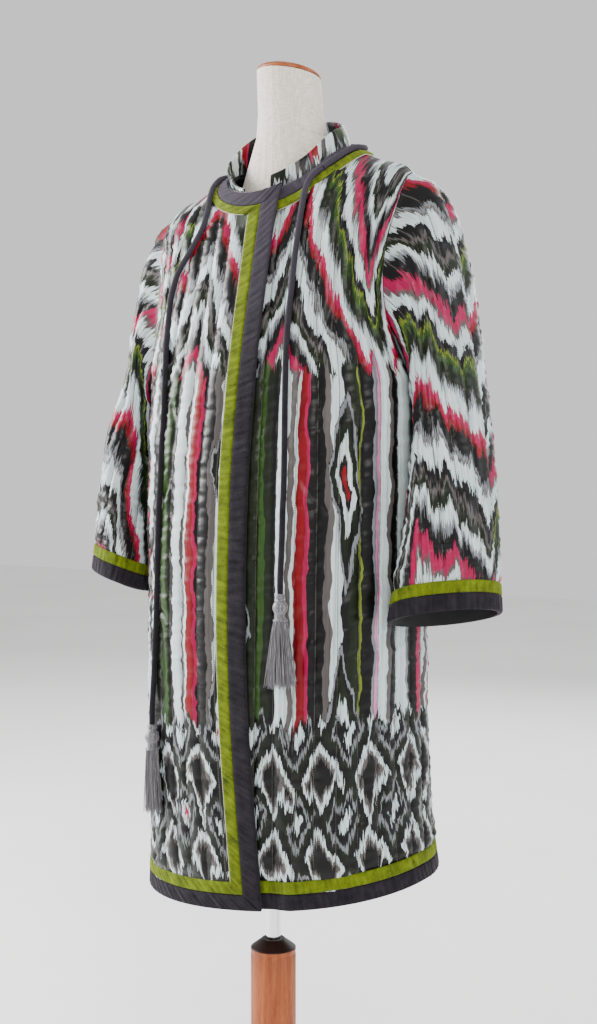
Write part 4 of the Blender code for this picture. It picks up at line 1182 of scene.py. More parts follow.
def calc(tree, operation, *values):
    """The result of a sum with up to three numbers."""
    return add(tree, "ShaderNodeMath", enumerate(values), operation=operation).outputs[0]


def stretched(tree, place, factors):
    """A place, scaled by its own factor along each axis."""
    return add(tree, "ShaderNodeVectorMath", {0: place, 1: factors}, operation="MULTIPLY").outputs[0]


def noise(tree, place, detail, scale=1.0, **more):
    """Soft noise in grey."""
    inputs = {"Vector": place, "Scale": scale, "Detail": detail, **more}
    return add(tree, "ShaderNodeTexNoise", inputs).outputs[0]


def mixed(tree, share, below, above, blend="MIX"):
    """One colour laid over another."""
    inputs = {0: share, 6: below, 7: above}
    return add(tree, "ShaderNodeMix", inputs, data_type="RGBA", blend_type=blend).outputs[2]


def ranged(tree, value, *limits):
    """A value carried from one range to another: old low and high, new low and high."""
    return add(tree, "ShaderNodeMapRange", enumerate((value, *limits))).outputs[0]


def bump(tree, strength, distance, height):
    """A relief for the shader's normal."""
    inputs = {"Strength": strength, "Distance": distance, "Height": height}
    return add(tree, "ShaderNodeBump", inputs).outputs[0]


def solid_place(tree):
    """The place in the object, in metres."""
    return add(tree, "ShaderNodeTexCoord").outputs["Object"]


def uv_place(tree, layer):
    """The place on the flat cloth, or the channel and the height along it."""
    return add(tree, "ShaderNodeUVMap", uv_map=layer).outputs[0]


def axes(tree, place):
    """The three numbers of a place."""
    return add(tree, "ShaderNodeSeparateXYZ", {0: place}).outputs[:3]


def ramp(tree, value, stops, interpolation="LINEAR"):
    """A colour from a value, by a table of (place, colour)."""
    made = add(tree, "ShaderNodeValToRGB", {0: value})
    elements = made.color_ramp.elements
    made.color_ramp.interpolation = interpolation
    while len(elements) > 1:
        elements.remove(elements[-1])
    elements[0].position = stops[0][0]
    elements[0].color = stops[0][1]
    for place, colour in stops[1:]:
        elements.new(place).color = colour
    return made.outputs[0]


def material(name):
    """The named material, made when it is first asked for."""
    found = bpy.data.materials.get(name)
    if found:
        return found
    made = bpy.data.materials.new(name)
    made.use_nodes = True
    fill, *values = MATERIALS[name]
    fill(made.node_tree, made.node_tree.nodes["Principled BSDF"], *values)
    return made


def shade(name):
    """A user's colour as four linear numbers."""
    return tuple(getattr(bpy.context.scene.coat_colours, name)) + (1.0,)


def banding(tree, value, table):
    """Bands of the print's colours, with hard edges, from a table of (place, colour name)."""
    return ramp(tree, value, [(place, shade(name)) for place, name in table], "CONSTANT")


# How often the print's unevenness turns, across the cloth and along it
THREADS = (620.0, 7.0, 1.0)
DRIFTS = (46.0, 3.2, 1.0)
SWAYS = (20.0, 13.0, 1.0)
DYE_STREAKS = (240.0, 5.0, 1.0)
TUCKS = (2.6, 150.0, 1.0)
# How far it moves the print's edges, in metres
THREAD_FEATHER = 0.040
DRIFT_FEATHER = 0.110
STRIPE_SWAY = 0.026
CHEVRON_SWAY = 0.060
# The print's parts, and where each colour starts in them
STRIPE_REPEAT = 0.310
STRIPES = (
    (0.000, "pale"), (0.058, "silver"), (0.072, "black"), (0.126, "pink"), (0.166, "grey"), (0.180, "pale"),
    (0.226, "silver"), (0.246, "black"), (0.300, "forest"), (0.358, "leaf"), (0.394, "forest"),
    (0.424, "black"), (0.446, "pale"), (0.502, "grey"), (0.524, "pale"), (0.540, "red"), (0.580, "pink"),
    (0.596, "black"), (0.660, "grey"), (0.684, "pale"), (0.738, "black"), (0.764, "forest"),
    (0.812, "olive"), (0.822, "black"), (0.872, "silver"), (0.890, "blush"), (0.906, "pale"),
    (0.944, "grey"), (0.962, "black"))
OVAL_STAGGER = 0.37
OVAL_HALF_HEIGHT = 0.170
OVAL_WIDE = 9.0
OVAL_TALL = 5.2
OVAL_POINTED = 1.35
OVAL_EDGE = 0.66
OVALS = (
    (0.00, "red"), (0.09, "black"), (0.17, "pale"), (0.33, "forest"), (0.45, "black"), (0.56, "silver"),
    (0.64, "black"))
CHEVRON_HALF_WIDTH = 0.150
CHEVRON_STEEP = 1.90
CHEVRON_REPEAT = 0.360
CHEVRONS_FROM = 1.185
CHEVRONS = (
    (0.00, "pale"), (0.075, "grey"), (0.095, "silver"), (0.120, "black"), (0.215, "red"), (0.250, "pink"),
    (0.290, "pale"), (0.375, "silver"), (0.395, "forest"), (0.470, "leaf"), (0.505, "olive"),
    (0.520, "black"), (0.575, "pale"), (0.640, "grey"), (0.665, "pink"), (0.725, "black"),
    (0.790, "silver"), (0.820, "pale"), (0.865, "forest"), (0.915, "grey"), (0.940, "black"))
BORDER_TOP = 0.715
BORDER_HALF_WIDTH = 0.0330
BORDER_HALF_HEIGHT = 0.058
BORDER_WIDE = 17.0
BORDER_TALL = 9.0
BORDER_UNEVEN = 0.55
BORDER_MIDDLE = 0.22
BORDER = (
    (0.00, "pink"), (0.08, "pale"), (0.20, "black"), (0.36, "silver"), (0.44, "forest"), (0.54, "black"),
    (0.68, "pale"), (0.78, "grey"), (0.86, "black"))
UNEVEN_DYE = ((0.30, (0.62, 0.62, 0.62, 1.0)), (0.55, (1.0, 1.0, 1.0, 1.0)), (0.72, (1.16, 1.16, 1.16, 1.0)))
STITCH_LENGTH = 0.0032
STITCH_SHARE = 0.66
STITCH_WIDTH = 0.022


def ikat(tree, place, thread):
    """The print's colours: stripes and ovals, chevrons above them and a border at the hem."""
    across, up = axes(tree, place)[:2]
    drift = noise(tree, stretched(tree, place, DRIFTS), 3.0)
    feather = calc(tree, "MULTIPLY_ADD", thread, THREAD_FEATHER, up)
    feather = calc(tree, "MULTIPLY_ADD", drift, DRIFT_FEATHER, feather)
    sway = noise(tree, stretched(tree, place, SWAYS), 3.0)
    waver = calc(tree, "MULTIPLY_ADD", sway, STRIPE_SWAY, across)

    # Long warp stripes
    repeat = calc(tree, "DIVIDE", waver, STRIPE_REPEAT)
    stripes = banding(tree, calc(tree, "FRACT", repeat), STRIPES)

    # Columns of tall pointed ovals, woven over some of the stripes
    beside = calc(tree, "ADD", calc(tree, "PINGPONG", repeat, 0.5), -0.25)
    beside = calc(tree, "MULTIPLY", calc(tree, "ABSOLUTE", beside), OVAL_WIDE)
    stagger = calc(tree, "MULTIPLY_ADD", repeat, OVAL_STAGGER, feather)
    tall = calc(tree, "MULTIPLY", calc(tree, "PINGPONG", stagger, OVAL_HALF_HEIGHT), OVAL_TALL)
    lozenge = calc(tree, "ADD", calc(tree, "POWER", beside, OVAL_POINTED), tall)
    inside = calc(tree, "LESS_THAN", lozenge, OVAL_EDGE)
    cloth = mixed(tree, inside, stripes, banding(tree, lozenge, OVALS))

    # Chevrons on the yoke and the sleeves
    fold = calc(tree, "PINGPONG", across, CHEVRON_HALF_WIDTH)
    slope = calc(tree, "MULTIPLY_ADD", fold, -CHEVRON_STEEP, feather)
    slope = calc(tree, "MULTIPLY_ADD", sway, CHEVRON_SWAY, slope)
    slope = calc(tree, "FRACT", calc(tree, "DIVIDE", slope, CHEVRON_REPEAT))
    high = calc(tree, "GREATER_THAN", feather, CHEVRONS_FROM)
    cloth = mixed(tree, high, cloth, banding(tree, slope, CHEVRONS))

    # A border of small lozenges above the hem
    low_side = calc(tree, "MULTIPLY", calc(tree, "PINGPONG", waver, BORDER_HALF_WIDTH), BORDER_WIDE)
    low_up = calc(tree, "MULTIPLY", calc(tree, "PINGPONG", feather, BORDER_HALF_HEIGHT), BORDER_TALL)
    small = calc(tree, "MULTIPLY_ADD", drift, BORDER_UNEVEN, calc(tree, "ADD", low_side, low_up))
    border = banding(tree, calc(tree, "ADD", small, -BORDER_MIDDLE), BORDER)
    return mixed(tree, calc(tree, "LESS_THAN", feather, BORDER_TOP), cloth, border)


def printed_sateen(tree, shader):
    """Cotton sateen, roller printed with a feathered ikat of stripes, lozenges and chevrons.

    Its floats of yarn give a soft gloss; the print's edges are feathered thread by
    thread along the warp.  Warp threads are drawn 1.6 mm wide, coarser than real, to show.
    """
    place = uv_place(tree, "cloth")
    threads = stretched(tree, place, THREADS)
    cloth = ikat(tree, place, noise(tree, threads, 2.0))
    dye = noise(tree, stretched(tree, place, DYE_STREAKS), 3.0, Roughness=0.6)
    cloth = mixed(tree, 1.0, cloth, ramp(tree, dye, UNEVEN_DYE), "MULTIPLY")

    # Lines of stitching in each valley
    channel, along = axes(tree, uv_place(tree, "quilt"))[:2]
    valley = calc(tree, "PINGPONG", channel, 0.5)
    line = calc(tree, "LESS_THAN", valley, STITCH_WIDTH)
    dash = calc(tree, "FRACT", calc(tree, "DIVIDE", along, STITCH_LENGTH))
    dash = calc(tree, "LESS_THAN", dash, STITCH_SHARE)
    cloth = mixed(tree, calc(tree, "MULTIPLY", line, dash), cloth, shade("thread"))

    # Small puckers drawn in by the stitches, and the sateen's fine weave
    tucks = add(tree, "ShaderNodeCombineXYZ", {0: channel, 1: along}).outputs[0]
    tucks = noise(tree, stretched(tree, tucks, TUCKS), 3.0)
    tucks = calc(tree, "MULTIPLY", tucks, ranged(tree, valley, 0.0, 0.40, 1.0, 0.15))
    relief = calc(tree, "MULTIPLY_ADD", noise(tree, threads, 1.0), 0.05, tucks)
    give(tree, shader, {"Base Color": cloth, "Normal": bump(tree, 0.75, 0.0012, relief), "Roughness": 0.38,
                        "Specular IOR Level": 0.24, "Sheen Weight": 0.04, "Sheen Roughness": 0.45})


def lining(tree, shader):
    """Plain woven cotton lining, dull dark grey; shows only inside hem and cuffs."""
    place = solid_place(tree)
    mottle = noise(tree, place, 4.0, 55.0)
    weave = noise(tree, place, 1.0, 700.0)
    tone = ramp(tree, mottle, ((0.35, linear("#161517")), (0.70, linear("#242225"))))
    give(tree, shader, {"Base Color": tone, "Normal": bump(tree, 0.5, 0.0003, weave), "Roughness": 0.82})


def velvet(tree, shader, name, deep, sheen_and_painted_tint, painted_light_strength):
    """Cotton velvet: a dark, dull pile that lights up where it is seen edge on.

    Brushed patches lie a little lighter or darker, and the pile shows as fine specks.
    The colour is painted paler toward the neck and chest as painted light from above, and painted darker in
    the small cross puckers as painted shade.
    """
    place = solid_place(tree)
    patches = noise(tree, place, 4.0, 62.0, Roughness=0.6)
    pile = noise(tree, place, 2.0, 520.0)
    dents_and_painted_shade = noise(tree, stretched(tree, uv_place(tree, "cloth"), (150.0, 26.0, 1.0)), 2.0)
    both = calc(tree, "MULTIPLY_ADD", pile, 0.40, patches)
    # painted shade: the cross puckers that shape the relief also darken the colour in their hollows, with
    # painted light on the ridges between them
    both = calc(tree, "MULTIPLY_ADD", dents_and_painted_shade, 1.10, both)
    tone = ramp(tree, calc(tree, "MULTIPLY", both, 0.5), ((0.42, linear(deep)), (0.78, shade(name))))
    # painted light: the colour is mixed toward the tint from the chest's height up to the neck's, so the top
    # is paler
    painted_lightening = ranged(tree, axes(tree, place)[2], *CHEST_TO_NECK, 0.0, painted_light_strength)
    relief = calc(tree, "MULTIPLY_ADD", dents_and_painted_shade, 2.2, pile)
    give(tree, shader, {"Base Color": mixed(tree, painted_lightening, tone, linear(sheen_and_painted_tint)),
                        "Normal": bump(tree, 0.8, 0.0011, relief), "Roughness": 0.88,
                        "Specular IOR Level": 0.15, "Sheen Weight": 0.34, "Sheen Roughness": 0.30,
                        "Sheen Tint": linear(sheen_and_painted_tint)})


def piping_cotton(tree, shader):
    """Pale cotton cord, dull and slightly uneven, as fine piping."""
    twist = noise(tree, solid_place(tree), 2.0, 900.0)
    tone = ramp(tree, twist, ((0.35, linear("#8c8b78")), (0.65, linear("#d6d4c2"))))
    give(tree, shader, {"Base Color": tone, "Roughness": 0.80})


def tassel_silk(tree, shader):
    """Rayon floss: smooth, silvery grey, with bright streaks down the strands."""
    streak = noise(tree, stretched(tree, solid_place(tree), (900.0, 900.0, 26.0)), 2.0)
    tone = ramp(tree, streak,
                ((0.32, linear("#47454a")), (0.52, shade("tassel")), (0.72, linear("#9b999f"))))
    give(tree, shader, {"Base Color": tone, "Roughness": 0.38, "Specular IOR Level": 0.55,
                        "Sheen Weight": 0.30})


def linen(tree, shader):
    """Linen canvas over the form: plain weave with slubs, matt and warm white.

    The threads are drawn 1.4 mm apart, coarser than real, to show.
    """
    place = solid_place(tree)
    weft = noise(tree, stretched(tree, place, (110.0, 110.0, 720.0)), 2.0)
    warp = noise(tree, stretched(tree, place, (720.0, 720.0, 60.0)), 2.0)
    weave = calc(tree, "ADD", weft, warp)
    tone = ramp(tree, calc(tree, "MULTIPLY", weave, 0.5),
                ((0.34, linear("#c6bbad")), (0.52, shade("linen")), (0.66, linear("#efe8de"))))
    give(tree, shader, {"Base Color": tone, "Normal": bump(tree, 0.6, 0.0006, weave), "Roughness": 0.86,
                        "Sheen Weight": 0.10})


# How often the wood's grain and its flecks turn, across the grain and along it
BEECH_GRAIN = (95.0, 7.0)
BEECH_FLECKS = (800.0, 90.0)


def stained_beech(tree, shader, long_way):
    """Beech, stained red brown and waxed: fine flecks, a satin gloss and a dark crown.

    The grain runs along one axis: up a turned piece, or level across a board.  Only
    the post reaches up into the crown's near black stain.
    """
    place = solid_place(tree)
    grain_scale, fleck_scale = ([along if axis == long_way else across for axis in range(3)]
                                for across, along in (BEECH_GRAIN, BEECH_FLECKS))
    grain = noise(tree, stretched(tree, place, grain_scale), 5.0, Distortion=0.6)
    flecks = noise(tree, stretched(tree, place, fleck_scale), 2.0)
    both = calc(tree, "MULTIPLY_ADD", flecks, 0.35, grain)
    tone = ramp(tree, both, ((0.50, linear("#7f3e1e")), (0.68, shade("wood")), (0.88, linear("#a9613a"))))
    crown = ramp(tree, axes(tree, place)[2], ((0.0, linear("#000000")), (POST_DARK_FROM, linear("#ffffff")),
                                              (POST_DARK_TO, linear("#000000"))), "CONSTANT")
    give(tree, shader, {"Base Color": mixed(tree, crown, tone, linear("#24100a")),
                        "Normal": bump(tree, 0.25, 0.0003, both), "Roughness": 0.46,
                        "Specular IOR Level": 0.30})


def chromed_steel(tree, shader):
    """Chromed steel tube: mirror bright, with the faintest polishing haze."""
    haze = noise(tree, solid_place(tree), 3.0, 90.0)
    give(tree, shader, {"Base Color": linear("#dfe1e4"), "Metallic": 1.0,
                        "Roughness": ranged(tree, haze, 0.3, 0.7, 0.10, 0.17)})


def painted_floor(tree, shader):
    """A pale painted floor, hardly mottled."""
    mottle = noise(tree, solid_place(tree), 3.0, 1.4)
    tone = ramp(tree, mottle, ((0.3, linear("#eeeeed")), (0.7, linear("#f5f5f4"))))
    give(tree, shader, {"Base Color": tone, "Roughness": 0.7})


# Each material's maker, and what tells it from others of its kind
MATERIALS = {
    "cotton_sateen_print": (printed_sateen,),
    "cotton_lining": (lining,),
    # Velvet: user colour, darkest tone, tint of the sheen and of the painted light toward the neck, and the
    # strength of that painted light
    "cotton_velvet_grey": (velvet, "velvet_grey", "#0d0c0e", "#8f8698", 0.13),
    "cotton_velvet_lime": (velvet, "velvet_lime", "#333d08", "#c6d264", 0.04),
    "cotton_piping_pale": (piping_cotton,),
    "rayon_floss": (tassel_silk,),
    "linen_canvas": (linen,),
    "stained_beech_turned": (stained_beech, 2),
    "stained_beech_board": (stained_beech, 0),
    "chromed_steel": (chromed_steel,),
    "painted_floor": (painted_floor,),
}


# Tie and tassels

def cord_curve(name, points):
    """A round velvet cord along a line of points, as one open spline."""
    curve = bpy.data.curves.new(name, "CURVE")
    curve.dimensions = "3D"
    curve.bevel_depth = CORD_DIAMETER / 2
    curve.bevel_resolution = CORD_FINENESS
    curve.use_fill_caps = True
    spline = curve.splines.new("POLY")
    spline.points.add(len(points) - 1)
    for point, place in zip(spline.points, points):
        point.co = (*place, 1.0)
    spline.use_smooth = True
    curve.materials.append(material("cotton_velvet_grey"))
    item = linked(name, curve)
    return item


def hanging_line(route):
    """Even points on one smooth curve through a hanging cord's route."""
    dense = cubic_rows(route, np.linspace(0, len(route) - 1, ROUTE_FINENESS * len(route)))
    return resample(dense, round(line_length(dense)[-1] / CORD_STEP))


def neck_line():
    """Points of the tie round the neck, in the room between the velvet bands."""
    angles = np.linspace(NECK_CORD_FROM, NECK_CORD_TO, NECK_CORD_POINTS)
    distance = neck_grey_far(angles) + neck_widths(angles)[1] / 2
    here, normal = coat_line(level_from(NECKLINE, angles, distance), angles)
    return on_left_front(here, normal, angles) + CORD_LIFT * normal


def tube(points, faces, line, radii, sides):
    """Add a closed tapering tube along a line to a mesh's points and faces."""
    heading = unit(np.gradient(line, axis=0))
    side_way = unit(np.cross(heading, (0.0, 1.0, 0.0)))
    faces += ring_faces(len(points), len(line), sides)
    points += list(rings_along(line, radii, side_way, np.cross(heading, side_way), sides).reshape(-1, 3))


def tassel(name, top, fan, facing, seed):
    """A tassel: wound knot, head and neck, with strands fused in its skirt cap."""
    radius, depth = cubic_rows(TASSEL_PROFILE, np.linspace(
        0, len(TASSEL_PROFILE) - 1, TASSEL_FINENESS * len(TASSEL_PROFILE))).T
    wound = TASSEL_WRAP_RISE * np.abs(np.sin(np.pi * depth / TASSEL_WRAP_STEP))
    reach = radius + wound * np.minimum(1.0, radius / TASSEL_WRAP_FROM)
    middle = np.outer(depth, (0.0, 0.0, -1.0))
    right = np.broadcast_to((1.0, 0.0, 0.0), middle.shape)
    ahead = np.broadcast_to((0.0, 1.0, 0.0), middle.shape)
    points = list(rings_along(middle, reach, right, ahead, TASSEL_SIDES).reshape(-1, 3))
    faces = ring_faces(0, len(middle), TASSEL_SIDES)
    random = np.random.default_rng(seed)
    steps = np.linspace(0, 1, STRAND_POINTS)
    for k in range(STRANDS):
        out = STRAND_REACH * math.sqrt((k + 0.5) / STRANDS)
        turn = k * GOLDEN_ANGLE
        root = np.array((out * math.cos(turn), out * math.sin(turn)))
        end = root * fan + random.normal(0, STRAND_SCATTER, 2)
        length = TASSEL_LENGTH - TASSEL_ROOT + random.uniform(*STRAND_UNEVEN)
        spread = steps ** STRAND_FLARE
        bends = steps * random.uniform(*STRAND_WAVES) + random.uniform(*STRAND_PHASES)
        sway = STRAND_SWAY * np.sin(bends) * steps
        line = np.stack([root[0] + (end[0] - root[0]) * spread + sway,
                         root[1] + (end[1] - root[1]) * spread + sway[::-1] * steps,
                         -TASSEL_ROOT - length * steps], axis=-1)
        radii = STRAND_RADIUS * (1 - STRAND_TAPER * steps) * random.uniform(*STRAND_THICKNESS)
        tube(points, faces, line, radii, STRAND_SIDES)
    turned = np.array(points) @ np.array(Matrix.Rotation(math.radians(facing), 3, "Z")).T
    mesh = bpy.data.meshes.new(name)
    mesh.from_pydata((turned + np.array(top)).tolist(), [], faces)
    mesh.materials.append(material("rayon_floss"))
    item = smoothed(mesh, sharp=TASSEL_SHARP)
    return item


# Dress form and stand

def turned_piece(name, profile, sides, cover, place=(0.0, 0.0, 0.0), tilt=(0.0, 0.0, 0.0)):
    """A turned piece: a circle at the foot, extruded and scaled ring by ring."""
    bpy.ops.object.select_all(action="DESELECT")
    radius, height = profile[0]
    bpy.ops.mesh.primitive_circle_add(
        vertices=sides, radius=radius, fill_type="NGON", location=(0.0, 0.0, 0.0))
    item = bpy.context.object
    item.name = name
    item.data.name = name
    bpy.ops.object.mode_set(mode="EDIT")
    bpy.ops.mesh.select_all(action="SELECT")
    bpy.ops.transform.translate(value=(0.0, 0.0, height))
    for (before, low), (after, high) in zip(profile, profile[1:]):
        bpy.ops.mesh.extrude_region_move(TRANSFORM_OT_translate={"value": (0.0, 0.0, high - low)})
        growth = after / before
        bpy.ops.transform.resize(value=(growth, growth, 1.0), center_override=(0.0, 0.0, high))
    bpy.ops.mesh.select_all(action="SELECT")
    bpy.ops.mesh.normals_make_consistent(inside=False)
    bpy.ops.object.mode_set(mode="OBJECT")
    item.location = place
    item.rotation_euler = tilt
    bpy.ops.object.transform_apply(location=True, rotation=True, scale=True)
    bpy.ops.object.shade_smooth_by_angle(angle=math.radians(TURNED_SHARP))
    item.data.materials.append(material(cover))
    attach(item, "root")
    return item


def rounded(radius, low, high, edge, steps=5):
    """A disc's profile from foot to top, with both rims rounded."""
    bend = [(edge * (1 - math.sin(turn)), edge * (1 - math.cos(turn)))
            for turn in np.linspace(0, math.pi / 2, steps + 1)]
    return ([(radius - into, low + along) for into, along in bend]
            + [(radius - along, high - into) for into, along in bend])


# What a user would change

def colour_property(name, description, hex_value):
    """A colour that the user can set."""
    return bpy.props.FloatVectorProperty(
        name=name, description=description, subtype="COLOR", size=3, min=0.0, max=1.0,
        default=linear(hex_value)[:3])


class CoatColours(bpy.types.PropertyGroup):
    """Colours of the print, the velvet, the tassels and the form."""

    pale: colour_property("Pale", "Pale mint ground of the print", "#c2d0d1")
    silver: colour_property("Silver", "Light grey of the print", "#767a7e")
    grey: colour_property("Grey", "Taupe grey of the print", "#524d4c")
    black: colour_property("Black", "Near black of the print", "#040304")
    forest: colour_property("Forest", "Dark green of the print", "#0f1806")
    leaf: colour_property("Leaf", "Middle green of the print", "#294413")
    olive: colour_property("Olive", "Yellow green of the print", "#6d7c20")
    pink: colour_property("Pink", "Hot pink of the print", "#9c0644")
    blush: colour_property("Blush", "Light pink of the print", "#cf7aa6")
    red: colour_property("Red", "Red of the print", "#78000e")
    thread: colour_property("Thread", "Quilting thread", "#4a4644")
    velvet_grey: colour_property("Grey velvet", "Lit pile of the grey velvet", "#28242b")
    velvet_lime: colour_property("Lime velvet", "Lit pile of the lime velvet", "#6c7c12")
    tassel: colour_property("Tassel", "Middle tone of the floss", "#5c595d")
    linen: colour_property("Linen", "Linen canvas of the form", "#ddd4c8")
    wood: colour_property("Wood", "Stained beech of cap and post", "#98502a")


class CoatSizes(bpy.types.PropertyGroup):
    """Sizes of the stand and the view that can be set without changing the cloth."""

    post_groove: bpy.props.FloatProperty(
        name="Post groove", description="Depth of the turned groove under the post's shoulder",
        default=0.0012, min=0.0, max=0.004, subtype="DISTANCE", unit="LENGTH")
    base_edge: bpy.props.FloatProperty(
        name="Base edge", description="Radius of the base disc's rounded rim",
        default=0.006, min=0.001, max=0.012, subtype="DISTANCE", unit="LENGTH")
    camera_distance: bpy.props.FloatProperty(
        name="Camera distance", description="From the neck's axis to the camera",
        default=CAMERA_DISTANCE, min=1.0, max=6.0, subtype="DISTANCE", unit="LENGTH")
    camera_azimuth: bpy.props.FloatProperty(
        name="Camera azimuth", description="Turn of the view round the coat, from its front",
        default=math.radians(CAMERA_AZIMUTH), min=-math.pi, max=math.pi, subtype="ANGLE", unit="ROTATION")


# Operators

FRONT_FLAT = (0.365, 1.010)
FRONT_AREA = 0.338
BACK_FLAT = (0.580, 1.030)
BACK_AREA = 0.560
SLEEVE_FLAT = (0.420, 0.600)
SLEEVE_AREA = 0.215
COLLAR_FLAT = (0.560, 0.040)
COLLAR_AREA = 0.0165
MITRE_GAP = 0.7
NECK_MITRE_IN = 0.0006
CUFF_SEED = 80


class COAT_OT_cords(bpy.types.Operator):
    """Make the velvet tie round the neck, its two hanging cords and their tassels"""

    bl_idname = "coat.cords"
    bl_label = "Tie and tassels"

    def execute(self, context):
        drop = np.array([0.0, 0.0, SEAM_GAP])
        left_end = tassel("tassel_left_floss", LEFT_ROUTE[-1] - drop, LEFT_FAN, LEFT_FACING, LEFT_SEED)
        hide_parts("tassel_left")
        right_end = tassel("tassel_right_floss", RIGHT_ROUTE[-1] - drop, RIGHT_FAN, RIGHT_FACING, RIGHT_SEED)
        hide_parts("tassel_right")
        left = cord_curve("tie_left_cord", hanging_line(LEFT_ROUTE))
        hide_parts("tie_left")
        right = cord_curve("tie_right_cord", hanging_line(RIGHT_ROUTE))
        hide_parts("tie_right")
        around = cord_curve("tie_neck_cord", neck_line())
        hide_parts("tie_neck")
        return {"FINISHED"}


class COAT_OT_cloth(bpy.types.Operator):
    """Make the quilted fronts, back, sleeves and collar, and the velvet bands on them"""

    bl_idname = "coat.cloth"
    bl_label = "Quilted cloth and velvet"

    def execute(self, context):
        bands = {name: [] for name in ("front_right", "back", "collar", "sleeve_left", "sleeve_right")}
        hem_top = HEM_GREY + BAND_TO_BAND
        inner_edge = FRONT_GREY + BAND_TO_BAND
        lime_edge = inner_edge + FRONT_LIME
        half_gap = BAND_TO_BAND * MITRE_GAP
        neck_grey = float(neck_grey_far(0.0))
        neck_lime = float(neck_lime_near(0.0))
        neck_end = float(neck_lime_far(0.0))
        plans = (
            ("front_grey_velvet", "front_band_grey", "front_right", front_band, "grey",
             (0.0, FRONT_GREY, (half_gap, HEM_GREY), (NECK_BAND_START + half_gap, neck_grey)), 71),
            ("front_lime_velvet", "front_band_lime", "front_right", front_band, "lime",
             (inner_edge, lime_edge, (hem_top + half_gap, hem_top + HEM_LIME),
              (neck_lime + half_gap, neck_end)), 72),
            ("hem_grey_velvet", "hem_band_grey", "back", round_band, "grey",
             (0.0, steady(0.0), steady(HEM_GREY),
              (LAP_AT_HEM - half_gap, LAP_AT_HEM - inner_edge), HEM_BAND_END), 73),
            ("hem_lime_velvet", "hem_band_lime", "back", round_band, "lime",
             (0.0, steady(hem_top), steady(hem_top + HEM_LIME),
              (LAP_AT_HEM - inner_edge - half_gap, LAP_AT_HEM - lime_edge - half_gap), HEM_BAND_END), 74),
            ("neck_grey_velvet", "neck_band_grey", "collar", round_band, "grey",
             (NECKLINE, steady(NECK_BAND_START), neck_grey_far,
              (LAP_AT_NECK - half_gap - NECK_MITRE_IN, LAP_AT_NECK - inner_edge), NECK_BAND_END), 75),
            ("neck_lime_velvet", "neck_band_lime", "collar", round_band, "lime",
             (NECKLINE, neck_lime_near, neck_lime_far,
              (LAP_AT_NECK - inner_edge - half_gap, LAP_AT_NECK - lime_edge - half_gap), NECK_BAND_END), 76),
        )
        for name, node, carrier, maker, tint, values, seed in plans:
            item = maker(name, *values, material("cotton_velvet_" + tint), seed)
            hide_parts(node)
            bands[carrier].append(item)
        lime_start = CUFF_GREY + BAND_TO_BAND
        for side, word in ((1, "left"), (-1, "right")):
            for tint, start, end in (("grey", 0.0, CUFF_GREY), ("lime", lime_start, lime_start + CUFF_LIME)):
                item = cuff_band("cuff_%s_velvet_%s" % (tint, word), side, start, end,
                                 material("cotton_velvet_" + tint), CUFF_SEED + side)
                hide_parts("cuff_%s_%s" % (tint, word))
                bands["sleeve_" + word].append(item)

        sheets = (
            (front_panel("coat_front_right", -1), "front_right", FRONT_FLAT, FRONT_AREA,
             bands["front_right"]),
            (front_panel("coat_front_left", 1), "front_left", FRONT_FLAT, FRONT_AREA, []),
            (back_panel(), "back", BACK_FLAT, BACK_AREA, bands["back"]),
            (sleeve("coat_sleeve_left", 1), "sleeve_left", SLEEVE_FLAT, SLEEVE_AREA, bands["sleeve_left"]),
            (sleeve("coat_sleeve_right", -1), "sleeve_right", SLEEVE_FLAT, SLEEVE_AREA,
             bands["sleeve_right"]),
            (collar_wall(), "collar", COLLAR_FLAT, COLLAR_AREA, bands["collar"]),
        )
        for item, node, flat, area, on_it in sheets:
            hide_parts(node)
        return {"FINISHED"}


class COAT_OT_form(bpy.types.Operator):
    """Finish the linen body of the dress form and turn its wooden neck cap and plate"""

    bl_idname = "coat.form"
    bl_label = "Dress form"

    def execute(self, context):
        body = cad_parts["torso"]
        for number in range(len(body.data.materials)):
            body.data.materials[number] = material("linen_canvas")
        tilt = (math.atan(NECK_TOP_SLOPE_Y), -math.atan(NECK_TOP_SLOPE_X), 0.0)
        cap = turned_piece("neck_cap_turned", CAP_PROFILE, WOOD_SIDES, "stained_beech_board",
                           (0.0, COAT_Y + NECK_SHIFT, NECK_TOP + SEAM_GAP), tilt)
        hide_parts("neck_cap")
        low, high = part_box("base_plate")
        plate = turned_piece("base_plate_turned", rounded((high.x - low.x) / 2, low.z, high.z, PLATE_EDGE),
                             WOOD_SIDES, "stained_beech_board",
                             (0.0, (low.y + high.y) / 2, 0.0))
        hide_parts("base_plate")
        return {"FINISHED"}


class COAT_OT_stand(bpy.types.Operator):
    """Turn the chromed rod, the wooden post with its groove, and the base disc"""

    bl_idname = "coat.stand"
    bl_label = "Stand"

    def execute(self, context):
        low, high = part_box("rod")
        rod = turned_piece("rod_chromed", rounded((high.x - low.x) / 2, low.z, high.z, ROD_EDGE, 3),
                           ROD_SIDES, "chromed_steel")
        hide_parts("rod")
        low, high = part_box("post")
        chosen = context.scene.coat_sizes
        foot = [(POST_RADIUS - POST_EDGE * (1 - math.sin(turn)), low.z + POST_EDGE * (1 - math.cos(turn)))
                for turn in POST_EDGE_TURNS]
        groove = [(POST_RADIUS - chosen.post_groove * deep, POST_TOP - POST_GROOVE_BELOW + off)
                  for deep, off in POST_GROOVE]
        crown = [(POST_RADIUS * wide, POST_TOP - POST_SHOULDER * down) for wide, down in POST_CROWN]
        post = turned_piece("post_turned", foot + groove + crown, WOOD_SIDES, "stained_beech_turned")
        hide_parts("post")
        base = turned_piece("base_disc_turned", rounded(BASE_RADIUS, 0.0, BASE_THICK, chosen.base_edge),
                            BASE_SIDES, "stained_beech_board")
        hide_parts("base")
        return {"FINISHED"}


